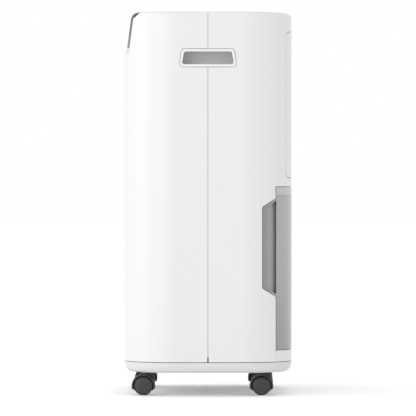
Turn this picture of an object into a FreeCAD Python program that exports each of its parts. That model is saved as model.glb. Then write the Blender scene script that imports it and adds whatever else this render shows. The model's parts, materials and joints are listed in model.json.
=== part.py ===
"""A compressor dehumidifier on four twin-wheel casters, as a parametric assembly in millimetres.

X runs across the width, the front faces -Y, +Z is up, and the origin lies on the floor under the
middle of the cabinet. "Right" is +X and "left" is -X, as seen by someone who faces the front.
"""
import FreeCAD, Part
import math
import os
import Sketcher
from FreeCAD import Placement, Rotation, Vector

doc = FreeCAD.newDocument("Dehumidifier")

# ---------------------------------------------------------------- driving dimensions

DIMENSIONS = {
    # cabinet
    "body_w": 384, "body_d": 275.8, "body_top": 618, "body_low": 38, "seam_z": 55,
    "corner_r": 80, "bow_r": 1800, "wall": 3, "lip": 2.2, "top_r": 5, "low_r": 11,
    "seam_gap": 0.8, "split_gap": 1.8,
    # grab handles in the sides
    "handle_z": 543.5, "handle_h": 28.8, "handle_top_w": 84.3, "handle_low_w": 92.3,
    "grip_h": 20.2, "grip_top_w": 76, "grip_low_w": 83.5, "grip_depth": 36, "rim_rise": 0.5,
    # leaning control panel
    "fascia_z": 561, "fascia_back": 4, "fascia_lean": 7.4, "fascia_bow": 3000, "fascia_r": 12,
    "fascia_end": 58, "fascia_w": 332, "fascia_t": 3, "chamfer_h": 8,
    "window_w": 84, "window_h": 26, "window_z": 582,
    "key_w": 20, "key_d": 12, "key_pitch": 30, "key_y": 88, "key_gap": 0.4,
    # air outlet in the top
    "outlet_w": 236, "outlet_front": 30, "outlet_rear": 50, "outlet_t": 10, "outlet_pitch": 8,
    # air inlet and filter in the back
    "inlet_low": 352, "inlet_high": 587, "inlet_edge": 125.5, "inlet_gap": 0.8,
    "slot_low": 369, "slot_pitch": 8, "slot_h": 5, "slot_half_w": 90,
    "filter_y": 122, "filter_w": 252, "filter_low": 362, "filter_high": 578,
    # water tank
    "tank_low": 74.3, "tank_high": 336.8, "tank_edge": 109.7, "tank_gap": 0.7, "tank_band": 12.8,
    "bucket_w": 300, "bucket_front": 25, "bucket_wall": 2.5,
    "scoop_edge": 87.8, "scoop_low": 174.6, "scoop_high": 303.8, "scoop_spread": 14,
    "float_x": -70, "float_y": 48, "float_z": 296, "float_pin_r": 2,
    # refrigeration
    "coil_low": 356, "coil_high": 586, "coil_w": 250, "coil_t": 22, "coil_tube_r": 4,
    "evap_y": 84, "cond_y": 58, "compressor_x": -70, "compressor_y": -62, "compressor_r": 54,
    # fan
    "fan_z": 465, "fan_r": 84, "fan_y": -6, "fan_w": 40, "scroll_r": 104, "scroll_y": -14,
    "scroll_w": 58, "shaft_r": 4, "motor_r": 40,
    # services
    "drain_y": 38, "drain_z": 352, "drain_bore": 12, "gland_x": -100, "gland_z": 63, "gland_bore": 7.6,
    # casters
    "caster_x": 131, "caster_y": 95.5, "caster_trail": 9, "wheel_r": 15.2, "wheel_w": 11,
    "wheel_in": 3.2, "axle_r": 3, "stem_r": 4, "hood_r": 19, "hood_t": 2.6, "running": 0.05,
}

sheet = doc.addObject("Spreadsheet::Sheet", "Dimensions")
for row, (name, number) in enumerate(DIMENSIONS.items(), start=1):
    sheet.set(f"A{row}", name)
    sheet.set(f"B{row}", str(number))
    sheet.setAlias(f"B{row}", name)
doc.recompute()


class Size:
    """A length that carries both its number and its formula over the sheet's names."""

    def __init__(self, number, formula):
        self.number = float(number)
        self.formula = formula

    def __add__(self, other):
        other = size(other)
        return Size(self.number + other.number, f"({self.formula} + {other.formula})")

    def __sub__(self, other):
        other = size(other)
        return Size(self.number - other.number, f"({self.formula} - {other.formula})")

    def __mul__(self, other):
        other = size(other)
        return Size(self.number * other.number, f"({self.formula} * {other.formula})")

    def __truediv__(self, other):
        other = size(other)
        return Size(self.number / other.number, f"({self.formula} / {other.formula})")

    def __neg__(self):
        return Size(-self.number, f"(0 - {self.formula})")

    def __radd__(self, other):
        return size(other) + self

    def __rsub__(self, other):
        return size(other) - self

    def __rmul__(self, other):
        return size(other) * self

    def __rtruediv__(self, other):
        return size(other) / self


def size(value):
    """A plain number as a Size, and a Size as it is."""
    if isinstance(value, Size):
        return value
    return Size(value, f"({float(value)!r})")


class Dimensions:
    """Every cell of the sheet as an attribute."""

    def __init__(self, names):
        for alias in names:
            setattr(self, alias, Size(sheet.get(alias), f"Dimensions.{alias}"))


dim = Dimensions(DIMENSIONS)

# ---------------------------------------------------------------- building blocks


def bind(obj, path, value):
    """Tie one property of an object to a formula over the sheet."""
    obj.setExpression(path, size(value).formula)


def place(obj, x, y, z, rotation=None):
    """Put an object at a point given by formulas, with a fixed rotation."""
    obj.Placement = Placement(Vector(0, 0, 0), rotation or Rotation())
    for axis, value in zip("xyz", (x, y, z)):
        bind(obj, f"Placement.Base.{axis}", value)
    return obj


def box(x, y, z):
    """A box between low and high limits, each given as a (low, high) pair."""
    obj = doc.addObject("Part::Box", "Box")
    for prop, (low, high) in zip(("Length", "Width", "Height"), (x, y, z)):
        bind(obj, prop, size(high) - low)
    return place(obj, x[0], y[0], z[0])


AXIS_ROTATION = {
    "X": Rotation(Vector(0, 1, 0), 90),
    "Y": Rotation(Vector(1, 0, 0), -90),
    "Z": Rotation(),
}


def cylinder(axis, x, y, z, radius, length):
    """A cylinder that starts at a point and runs along +X, +Y or +Z."""
    obj = doc.addObject("Part::Cylinder", "Cylinder")
    bind(obj, "Radius", radius)
    bind(obj, "Height", length)
    return place(obj, x, y, z, AXIS_ROTATION[axis])


def fuse(*shapes):
    obj = doc.addObject("Part::MultiFuse", "Fuse")
    obj.Shapes = list(shapes)
    obj.Refine = True
    return obj


def group(*shapes):
    """Separate solids that are exported as one node."""
    obj = doc.addObject("Part::Compound", "Group")
    obj.Links = list(shapes)
    return obj


def cut(base, *tools):
    """A base with tools taken away one after the other."""
    for tool in tools:
        obj = doc.addObject("Part::Cut", "Cut")
        obj.Base = base
        obj.Tool = tool
        base = obj
    return base


def common(first, second):
    obj = doc.addObject("Part::Common", "Common")
    obj.Base = first
    obj.Tool = second
    return obj


def rounded(base, radius, wanted):
    """Part::Fillet on every edge for which wanted(bounding box) holds."""
    doc.recompute()
    number = size(radius).number
    picked = [i for i, edge in enumerate(base.Shape.Edges, start=1) if wanted(edge.BoundBox)]
    obj = doc.addObject("Part::Fillet", "Rounded")
    obj.Base = base
    obj.Edges = [(i, number, number) for i in picked]
    return obj


def upright(b):
    """True for an edge that runs along Z only."""
    return b.XLength < 0.01 and b.YLength < 0.01 and b.ZLength > 1


def fore_and_aft(b):
    """True for an edge that runs along Y only."""
    return b.XLength < 0.01 and b.ZLength < 0.01 and b.YLength > 1


def crosswise(b):
    """True for an edge that runs along X only."""
    return b.YLength < 0.01 and b.ZLength < 0.01 and b.XLength > 0.5


def new_sketch(body, role, offset):
    """A sketch on one of the body's origin planes, moved along that plane's normal."""
    plane = next(f for f in body.Origin.OriginFeatures if f.Role == role)
    sketch = body.newObject("Sketcher::SketchObject", "Sketch")
    sketch.AttachmentSupport = [(plane, "")]
    sketch.MapMode = "FlatFace"
    bind(sketch, "AttachmentOffset.Base.z", offset)
    return sketch


def polygon(sketch, points):
    """A closed outline through points, each held to its two formulas."""
    corners = [(size(a), size(b)) for a, b in points]
    count = len(corners)
    for i, (a, b) in enumerate(corners):
        c, d = corners[(i + 1) % count]
        start = Vector(a.number, b.number, 0)
        end = Vector(c.number, d.number, 0)
        sketch.addGeometry(Part.LineSegment(start, end), False)
    for i in range(count):
        sketch.addConstraint(Sketcher.Constraint("Coincident", i, 2, (i + 1) % count, 1))
    for i, pair in enumerate(corners):
        for kind, value in zip(("DistanceX", "DistanceY"), pair):
            index = sketch.addConstraint(Sketcher.Constraint(kind, -1, 1, i, 1, value.number))
            bind(sketch, f"Constraints[{index}]", value)


def prism(role, points, start, length, radius=None):
    """A padded polygon; a radius rounds the edges that run along the pad."""
    body = doc.addObject("PartDesign::Body", "Prism")
    sketch = new_sketch(body, role, start)
    polygon(sketch, points)
    pad = body.newObject("PartDesign::Pad", "Pad")
    pad.Profile = sketch
    bind(pad, "Length", length)
    if radius is not None:
        along = {"XY_Plane": upright, "XZ_Plane": fore_and_aft, "YZ_Plane": crosswise}[role]
        round_edges(body, pad, radius, along)
    return body


def round_edges(body, feature, radius, wanted):
    """PartDesign::Fillet on every edge for which wanted(bounding box) holds."""
    doc.recompute()
    names = [f"Edge{i}" for i, e in enumerate(feature.Shape.Edges, start=1) if wanted(e.BoundBox)]
    fillet = body.newObject("PartDesign::Fillet", "Fillet")
    fillet.Base = (feature, names)
    bind(fillet, "Radius", radius)
    return fillet


def revolved(points, turn=360, axis_y=0):
    """A polygon of (distance from an upright axis, height) pairs, turned about that axis."""
    body = doc.addObject("PartDesign::Body", "Turned")
    sketch = new_sketch(body, "YZ_Plane", 0)
    polygon(sketch, points)
    turned = body.newObject("PartDesign::Revolution", "Revolution")
    turned.Profile = sketch
    turned.ReferenceAxis = (sketch, ["V_Axis"])
    turned.Angle = turn
    turned.Midplane = True
    return place(body, 0, axis_y, 0)


def solid_piece(shape):
    """A plain feature around a shape made with Part's own functions."""
    obj = doc.addObject("Part::Feature", "Solid")
    obj.Shape = shape
    return obj


def tube(points, radius, bend):
    """A round bar along straight runs joined by tangent arcs."""
    corners = [Vector(*(size(c).number for c in p)) for p in points]
    edges = []
    last = corners[0]
    for before, corner, after in zip(corners, corners[1:], corners[2:]):
        into = (before - corner).normalize()
        out = (after - corner).normalize()
        half = into.getAngle(out) / 2
        reach = bend / math.tan(half)
        start = corner + into * reach
        end = corner + out * reach
        middle = corner + (into + out).normalize() * (bend / math.sin(half) - bend)
        edges.append(Part.LineSegment(last, start).toShape())
        edges.append(Part.Arc(start, middle, end).toShape())
        last = end
    edges.append(Part.LineSegment(last, corners[-1]).toShape())
    spine = Part.Wire(edges)
    circle = Part.Wire([Part.makeCircle(radius, corners[0], corners[1] - corners[0])])
    return solid_piece(spine.makePipeShell([circle], True, False))


pieces = {}


def piece(label, obj):
    """Register a finished sub-part under the name of its file."""
    obj.Label = label
    pieces[label] = obj
    return obj


# ---------------------------------------------------------------- cabinet form

half_w = dim.body_w / 2
half_d = dim.body_d / 2
FAR = 300
RIGHT_LEFT = (("right", 1), ("left", -1))


def arc(centre, radius, start, end):
    circle = Part.Circle(Vector(centre[0], centre[1], 0), Vector(0, 0, 1), radius)
    return Part.ArcOfCircle(circle, start, end)


def outline(sketch, inset):
    """The cabinet in plan: two flat sides, bowed front and back, and four round corners."""
    side = half_w - inset
    corner = dim.corner_r - inset
    bow = dim.bow_r - inset
    bow_y = dim.bow_r - half_d
    cx = side.number - corner.number
    cy = bow_y.number - math.sqrt((bow.number - corner.number) ** 2 - cx ** 2)
    turn = math.acos(cx / (bow.number - corner.number))
    right = side.number
    pi = math.pi
    geometry = [
        Part.LineSegment(Vector(right, cy, 0), Vector(right, -cy, 0)),
        arc((cx, -cy), corner.number, 0, turn),
        arc((0, -bow_y.number), bow.number, turn, pi - turn),
        arc((-cx, -cy), corner.number, pi - turn, pi),
        Part.LineSegment(Vector(-right, -cy, 0), Vector(-right, cy, 0)),
        arc((-cx, cy), corner.number, pi, pi + turn),
        arc((0, bow_y.number), bow.number, pi + turn, 2 * pi - turn),
        arc((cx, cy), corner.number, 2 * pi - turn, 2 * pi),
    ]
    for curve in geometry:
        sketch.addGeometry(curve, False)
    count = len(geometry)
    for i in range(count):
        sketch.addConstraint(Sketcher.Constraint("Tangent", i, 2, (i + 1) % count, 1))

    def hold(value, kind, *where):
        index = sketch.addConstraint(Sketcher.Constraint(kind, *where, value.number))
        bind(sketch, f"Constraints[{index}]", value)

    for line, reach in ((0, side), (4, -side)):
        sketch.addConstraint(Sketcher.Constraint("Vertical", line))
        hold(reach, "DistanceX", -1, 1, line, 1)
    for curve in (1, 3, 5, 7):
        hold(corner, "Radius", curve)
    for curve, middle in ((2, -bow_y), (6, bow_y)):
        hold(bow, "Radius", curve)
        hold(size(0), "DistanceX", -1, 1, curve, 3)
        hold(middle, "DistanceY", -1, 1, curve, 3)


def form(inset, low, high, low_r=None, high_r=None):
    """A solid of the cabinet's plan outline, drawn in by an inset, between two heights."""
    body = doc.addObject("PartDesign::Body", "Form")
    sketch = new_sketch(body, "XY_Plane", low)
    outline(sketch, inset)
    feature = body.newObject("PartDesign::Pad", "Pad")
    feature.Profile = sketch
    bind(feature, "Length", size(high) - low)
    for level, radius in ((low, low_r), (high, high_r)):
        if radius is not None:
            height = size(level).number
            at_level = lambda b, z=height: b.ZLength < 0.01 and abs(b.ZMin - z) < 0.01
            feature = round_edges(body, feature, radius, at_level)
    return body


outer = form(size(0), dim.body_low, dim.body_top, dim.low_r, dim.top_r)
inner = form(dim.wall, dim.body_low + dim.wall, dim.body_top - dim.wall, dim.low_r - dim.wall,
             dim.top_r - dim.wall)
deeper = form(dim.wall + dim.lip, dim.body_low + dim.wall, dim.body_top - dim.wall - dim.lip)
skin = cut(outer, inner)
lip_ring = cut(inner, deeper)

# ---------------------------------------------------------------- openings shared by neighbours


def side_prism(points, start, end, radius=None):
    """A prism along X whose outline is given as (y, z) pairs."""
    return prism("YZ_Plane", points, start, size(end) - start, radius)


def rear_prism(points, start, end, radius=None):
    """A prism along Y, from start to end, whose outline is given as (x, z) pairs."""
    return prism("XZ_Plane", points, -size(end), size(end) - start, radius)


def trapezoid(top_w, low_w, height, grow):
    """A grab handle's outline, grown all round."""
    top_half = top_w / 2 + grow
    low_half = low_w / 2 + grow
    rise = height / 2 + grow
    return [
        (-low_half, dim.handle_z - rise), (low_half, dim.handle_z - rise),
        (top_half, dim.handle_z + rise), (-top_half, dim.handle_z + rise),
    ]


def rim_outline(grow):
    return trapezoid(dim.handle_top_w, dim.handle_low_w, dim.handle_h, grow)


def grip_outline(grow):
    return trapezoid(dim.grip_top_w, dim.grip_low_w, dim.grip_h, grow)


RIM_GAP = 0.6
RIM_CORNER = 6
FLANGE_GROW = 3
handle_hole = side_prism(rim_outline(RIM_GAP), -FAR, FAR, RIM_CORNER + RIM_GAP)
flange_hole = side_prism(rim_outline(FLANGE_GROW + 0.6), -FAR, FAR)

outlet_gap = 0.4
outlet_hole = box((-dim.outlet_w / 2 - outlet_gap, dim.outlet_w / 2 + outlet_gap),
                  (-dim.outlet_front - outlet_gap, dim.outlet_rear + outlet_gap),
                  (dim.body_top - 12, dim.body_top + 5))

SCREW_X = 152.4
SCREW_Y = 112
SCREW_SEAT = 10.5
HEAD_SEAT = 4.5
screw_places = [(sx * SCREW_X, sy * SCREW_Y) for sx in (1, -1) for sy in (1, -1)]


def screw_bosses(sign):
    """Two pillars in a shell's lower corners that take the base screws."""
    low = dim.body_low + SCREW_SEAT
    collar_low = dim.seam_z + 1
    high = dim.tank_low - 5.5
    posts = []
    for x, y in screw_places:
        if y * sign > 0:
            post = cylinder("Z", x, y, low, 6, high - low)
            collar = cylinder("Z", x, y, collar_low, 9, high - collar_low)
            posts.append(cut(fuse(post, collar), cylinder("Z", x, y, low - 1, 2, 12)))
    return posts


# ---------------------------------------------------------------- front shell and control panel

lean = math.tan(math.radians(DIMENSIONS["fascia_lean"]))
fascia_y = half_d - dim.fascia_back
fascia_axis = dim.fascia_bow - fascia_y


def leaning(z, depth):
    """The y of the leaning panel's surface, or of one that lies deeper, at a height."""
    return -fascia_y + (size(z) - dim.fascia_z) * lean + depth


def fascia_sweep(points):
    """A profile of (y, z) pairs turned about the panel's far vertical axis."""
    relative = [(size(y) - fascia_axis, z) for y, z in points]
    return revolved(relative, turn=9, axis_y=fascia_axis)


def fascia_band(first, last, low, end):
    """The L-shaped strip between two depths: up the lean, then back along the top."""
    top = dim.body_top - first
    under = dim.body_top - last
    return fascia_sweep([
        (leaning(low, first), low), (leaning(top, first), top), (-size(end), top),
        (-size(end), under), (leaning(under, last), under), (leaning(low, last), low),
    ])


def near_edge(y, z):
    """Picks the long curved edge that passes through a point of the middle plane."""
    y = size(y).number
    z = size(z).number
    return lambda b: abs(b.ZMin - z) < 0.05 and b.ZLength < 0.05 and b.XLength > 100 \
        and abs(b.YMin - y) < 0.3


def split_piece(name, shape, cells):
    """One moulding as solids that meet face to face, so that each is a simple shape."""
    piece(name, group(*[common(shape, box(*cell)) for cell in cells]))


def on_each_side(y, z):
    """The same cell on the right and on the left of the middle plane."""
    return ((0, FAR), y, z), ((-FAR, 0), y, z)


ALL = (-FAR, FAR)
FLAT_SIDE = 54
TOP_SPLIT = 612
CABINET_TOP = 700


def make_front_shell():
    front_half = box((-FAR, FAR), (-FAR, -dim.split_gap / 2), (dim.seam_z + dim.seam_gap / 2, 700))
    sill = common(outer, box((-146, 146), (-FAR, -half_d + 18), (dim.fascia_z - 6, dim.fascia_z - 0.2)))
    shell = fuse(common(skin, front_half), sill, *screw_bosses(-1))
    seat = dim.fascia_t + 0.2
    under = dim.body_top - seat
    end = -dim.fascia_end + 0.4
    chamfer_slope = dim.fascia_back / dim.chamfer_h
    panel_space = fascia_sweep([
        (-half_d - chamfer_slope * 16, dim.fascia_z - dim.chamfer_h - 16),
        (-fascia_y, dim.fascia_z),
        (leaning(dim.fascia_z, seat), dim.fascia_z),
        (leaning(under, seat), under),
        (end, under), (end, 660), (-200, 660), (-200, dim.fascia_z - dim.chamfer_h - 16),
    ])
    panel_space = rounded(panel_space, dim.fascia_r - seat, near_edge(leaning(under, seat), under))
    half = dim.fascia_w / 2 + 0.3
    panel_space = common(panel_space, box((-half, half), (-FAR, 0), (500, 700)))
    shell = cut(shell, panel_space, outlet_hole, handle_hole)
    split_piece("front_shell", shell, [
        (ALL, (-FAR, -FLAT_SIDE), (0, TOP_SPLIT)),
        *on_each_side((-FLAT_SIDE, 0), (0, TOP_SPLIT)),
        (ALL, (-FAR, 0), (TOP_SPLIT, CABINET_TOP)),
    ])


key_places = [(name, (i - 2.5)) for i, name in enumerate(
    ("power", "mode", "lower", "raise", "timer", "fan"))]


def make_fascia():
    """The dark panel: it leans back over the front and turns onto the top."""
    band = fascia_band(0, dim.fascia_t, dim.fascia_z, dim.fascia_end)
    top = dim.body_top
    under = dim.body_top - dim.fascia_t
    band = rounded(band, dim.fascia_r, near_edge(leaning(top, 0), top))
    band = rounded(band, dim.fascia_r - dim.fascia_t, near_edge(leaning(under, dim.fascia_t), under))
    half = dim.fascia_w / 2
    panel = common(common(outer, band), box((-half, half), (-FAR, 0), (500, 700)))
    gap = 0.15
    window_low = dim.window_z - dim.window_h / 2
    window_high = dim.window_z + dim.window_h / 2
    window_half = dim.window_w / 2
    window_space = box((-window_half - gap, window_half + gap), (-FAR, -100),
                       (window_low - gap, window_high + gap))
    holes = []
    for _, step in key_places:
        x = dim.key_pitch * step
        hole = box((x - dim.key_w / 2 - dim.key_gap, x + dim.key_w / 2 + dim.key_gap),
                   (-dim.key_y - dim.key_d / 2 - dim.key_gap, -dim.key_y + dim.key_d / 2 + dim.key_gap),
                   (600, 630))
        holes.append(rounded(hole, 3.4, upright))
    piece("control_fascia", cut(panel, window_space, *holes))
    thin_band = fascia_band(0, 2, dim.fascia_z, dim.fascia_end)
    window_box = box((-window_half, window_half), (-FAR, -100), (window_low, window_high))
    piece("display_window", common(common(outer, thin_band), window_box))


def make_keys():
    """Six touch keys in the panel's top, each with a rim that keeps it in."""
    top = dim.body_top - 0.2
    under = dim.body_top - dim.fascia_t
    for name, step in key_places:
        x = dim.key_pitch * step
        cap = box((x - dim.key_w / 2, x + dim.key_w / 2),
                  (-dim.key_y - dim.key_d / 2, -dim.key_y + dim.key_d / 2), (under - 1.6, top))
        cap = rounded(cap, 3, upright)
        rim = box((x - dim.key_w / 2 - 1.5, x + dim.key_w / 2 + 1.5),
                  (-dim.key_y - dim.key_d / 2 - 1.5, -dim.key_y + dim.key_d / 2 + 1.5),
                  (under - 1.6, under - 0.3))
        stem = cylinder("Z", x, -dim.key_y, under - 3.6, 2, 2.4)
        piece(f"key_{name}", fuse(cap, rim, stem))


def make_boards():
    board_y = leaning(dim.fascia_z, 14).number
    board = box((-104, 104), (board_y, board_y + 1.6), (564, 600))
    module = box((-38, 38), (board_y - 4, board_y), (dim.window_z - 10, dim.window_z + 12))
    chip = box((-12, 12), (board_y + 1.6, board_y + 4.4), (574, 590))
    plug = box((60, 84), (board_y + 1.6, board_y + 9), (568, 576))
    posts = []
    for x in (-96, 96):
        for z in (568, 596):
            inner_face = leaning(z, dim.fascia_t).number + x * x / (2 * DIMENSIONS["fascia_bow"])
            posts.append(cylinder("Y", x, inner_face + 0.6, z, 2.5, board_y - inner_face))
    piece("display_board", fuse(board, module, chip, plug, *posts))
    level = 603.4
    parts = [box((-98, 98), (-dim.key_y - 14, -dim.key_y + 14), (level, level + 1.6))]
    for _, step in key_places:
        x = dim.key_pitch * step
        parts.append(box((x - 3, x + 3), (-dim.key_y - 3, -dim.key_y + 3), (level + 1.6, level + 5.4)))
        parts.append(cylinder("Z", x, -dim.key_y, level + 5.4, 1.6, 1))
    under = dim.body_top - dim.fascia_t
    for x in (-93, 93):
        parts.append(cylinder("Z", x, -dim.key_y, level, 2.5, under - level))
    piece("key_board", fuse(*parts))


def make_handles():
    """A cup in each side with a flange behind the wall and a rim that stands just proud."""
    for name, sign in RIGHT_LEFT:
        face = half_w + dim.rim_rise
        behind = half_w - dim.wall - 0.2
        back = half_w - dim.grip_depth

        def across(low, high):
            return (low, high) if sign > 0 else (-high, -low)

        rim = side_prism(rim_outline(0), *across(behind - 0.5, face), RIM_CORNER)
        flange = side_prism(rim_outline(FLANGE_GROW), *across(behind - 2, behind), RIM_CORNER + 2)
        cup = side_prism(grip_outline(2), *across(back - 2, behind), 5)
        hollow = side_prism(grip_outline(0), *across(back, face + 1), 3.5)
        hook = box(across(back, face - 9), (-dim.grip_top_w / 2 + 4, dim.grip_top_w / 2 - 4),
                   (dim.handle_z, dim.handle_z + dim.grip_h / 2 + 8))
        hook_shell = box(across(back - 2, face - 7), (-dim.grip_top_w / 2 + 2, dim.grip_top_w / 2 - 2),
                         (dim.handle_z, dim.handle_z + dim.grip_h / 2 + 10))
        piece(f"handle_{name}", cut(fuse(rim, flange, cup, hook_shell), hollow, hook))


def make_outlet_grille():
    """Fixed slats across the top, in a frame that bridges both shells."""
    half = dim.outlet_w / 2
    low = dim.body_top - dim.outlet_t
    frame = box((-half, half), (-dim.outlet_front, dim.outlet_rear), (low, dim.body_top))
    rim = 5
    space = box((-half + rim, half - rim), (-dim.outlet_front + rim, dim.outlet_rear - rim), (low - 1, 630))
    parts = [cut(frame, space)]
    room = DIMENSIONS["outlet_front"] + DIMENSIONS["outlet_rear"] - 2 * rim
    count = int(room // DIMENSIONS["outlet_pitch"])
    for i in range(count):
        y = -dim.outlet_front + rim + dim.outlet_pitch * (i + 0.5) + (room - count * 8) / 2
        parts.append(box((-half + 1, half - 1), (y - 1.2, y + 1.2), (low + 1, dim.body_top - 0.8)))
    for x in (-78, -26, 26, 78):
        parts.append(box((x - 1.2, x + 1.2), (-dim.outlet_front + 1, dim.outlet_rear - 1),
                         (low + 0.5, dim.body_top - 3)))
    piece("outlet_grille", fuse(*parts))


# ---------------------------------------------------------------- rear shell, inlet and filter


def inlet_outline(grow):
    """The inlet panel's outline in the back view."""
    half = inlet_half_w + grow
    return [(-half, dim.inlet_low - grow), (half, dim.inlet_low - grow),
            (half, dim.inlet_high + grow), (-half, dim.inlet_high + grow)]


bow_y = DIMENSIONS["bow_r"] - DIMENSIONS["body_d"] / 2
corner_x = DIMENSIONS["body_w"] / 2 - DIMENSIONS["corner_r"]
corner_y = math.sqrt((DIMENSIONS["bow_r"] - DIMENSIONS["corner_r"]) ** 2 - corner_x ** 2) - bow_y
inlet_rise = DIMENSIONS["inlet_edge"] - corner_y
inlet_half_w = size(corner_x + math.sqrt(DIMENSIONS["corner_r"] ** 2 - inlet_rise ** 2))
INLET_CORNER = 12


def scoop_outline(grow):
    """The finger recess at the tank's side edges, in the side view."""
    front = dim.scoop_edge - grow
    back = dim.tank_edge + 12
    low = dim.scoop_low - grow
    high = dim.scoop_high + grow
    spread = dim.scoop_spread * (12 / (dim.tank_edge - dim.scoop_edge) + 1)
    return [(front, low), (back, low - spread), (back, high + spread), (front, high)]


TANK_FOOT = 74
BEAD_INSET = 1
GLAND_PLATE = 20


def make_rear_shell():
    low = dim.seam_z + dim.seam_gap / 2
    rear_half = box((-FAR, FAR), (dim.split_gap / 2, FAR), (low, 700))
    tongue = common(lip_ring, box((-FAR, FAR), (-8, 8), (dim.seam_z + 9, 700)))
    raised = form(BEAD_INSET, dim.seam_z + 9, dim.body_top - BEAD_INSET, high_r=dim.top_r - BEAD_INSET)
    bead = common(cut(raised, inner), box((-FAR, FAR), (-0.8, 0.8), (0, CABINET_TOP)))
    tongue = fuse(cut(tongue, flange_hole), cut(bead, handle_hole))
    piece("shell_tongue", cut(tongue, outlet_hole))
    shell = fuse(common(skin, rear_half), *screw_bosses(1))
    panel_space = rear_prism(inlet_outline(dim.inlet_gap), 100, FAR, INLET_CORNER)
    gap = dim.tank_gap
    tank_space = box((-FAR, FAR), (dim.tank_edge - gap, FAR), (dim.tank_low - gap, dim.tank_high + gap))
    notch = side_prism(scoop_outline(gap), -FAR, FAR, 5)
    notch = common(notch, box((-FAR, FAR), (0, dim.tank_edge + 1), (0, 700)))
    gland_hole = cylinder("Y", dim.gland_x, 100, dim.gland_z, 7, 60)
    drain_hole = cylinder("X", -FAR, dim.drain_y, dim.drain_z, 11, 200)
    shell = cut(shell, panel_space, tank_space, notch, outlet_hole, handle_hole, gland_hole,
                drain_hole)
    back = (dim.tank_edge - gap, FAR)
    above_sill = (TANK_FOOT, TOP_SPLIT)
    sill = (0, TANK_FOOT)
    gland_plate = (dim.gland_x - GLAND_PLATE, dim.gland_x + GLAND_PLATE)
    split_piece("rear_shell", shell, [
        (ALL, back, above_sill),
        (ALL, (0, FAR), (TOP_SPLIT, CABINET_TOP)),
        *on_each_side((0, FLAT_SIDE), (0, TOP_SPLIT)),
        *on_each_side((FLAT_SIDE, back[0]), above_sill),
        ((gland_plate[1], FAR), (FLAT_SIDE, FAR), sill),
        ((-FAR, gland_plate[0]), (FLAT_SIDE, FAR), sill),
        (gland_plate, (FLAT_SIDE, FAR), sill),
    ])


def make_inlet_grille():
    """A wrap-round panel with a ladder of slots and upright ribs behind them."""
    panel = common(skin, rear_prism(inlet_outline(0), 100, FAR, INLET_CORNER))
    count = 24
    slots = []
    for i in range(count):
        z = dim.slot_low + dim.slot_pitch * i
        slots.append(box((-dim.slot_half_w, dim.slot_half_w), (110, FAR),
                         (z - dim.slot_h / 2, z + dim.slot_h / 2)))
    last = dim.slot_low + dim.slot_pitch * (count - 1)
    ribs = []
    for x in (-75, -45, -15, 15, 45, 75):
        bow_depth = x * x / (2 * DIMENSIONS["bow_r"])
        skin_back = half_d - dim.wall - bow_depth
        ribs.append(box((x - 1, x + 1), (skin_back - 3, skin_back + 0.8),
                        (dim.slot_low - 8, last + 8)))
    finger_dip = box((-24, 24), (130, FAR), (dim.inlet_high - 3, 700))
    piece("inlet_grille", cut(fuse(cut(panel, group(*slots)), *ribs), finger_dip))


def make_filter():
    """A washable mesh in a light frame, held behind the inlet panel."""
    half = dim.filter_w / 2
    low_y = dim.filter_y
    frame = box((-half, half), (low_y, low_y + 5), (dim.filter_low, dim.filter_high))
    rim = 7
    space = box((-half + rim, half - rim), (0, FAR), (dim.filter_low + rim, dim.filter_high - rim))
    bars = [box((x - 1.5, x + 1.5), (low_y, low_y + 2), (dim.filter_low + 2, dim.filter_high - 2))
            for x in (-61, 0, 61)]
    middle = (dim.filter_low + dim.filter_high) / 2
    bars.append(box((-half + 2, half - 2), (low_y, low_y + 2), (middle - 1.5, middle + 1.5)))
    piece("filter_frame", fuse(cut(frame, space), *bars))
    piece("filter_mesh", box((-half + rim, half - rim), (low_y + 2.2, low_y + 3.2),
                             (dim.filter_low + rim, dim.filter_high - rim)))


# ---------------------------------------------------------------- water tank


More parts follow.
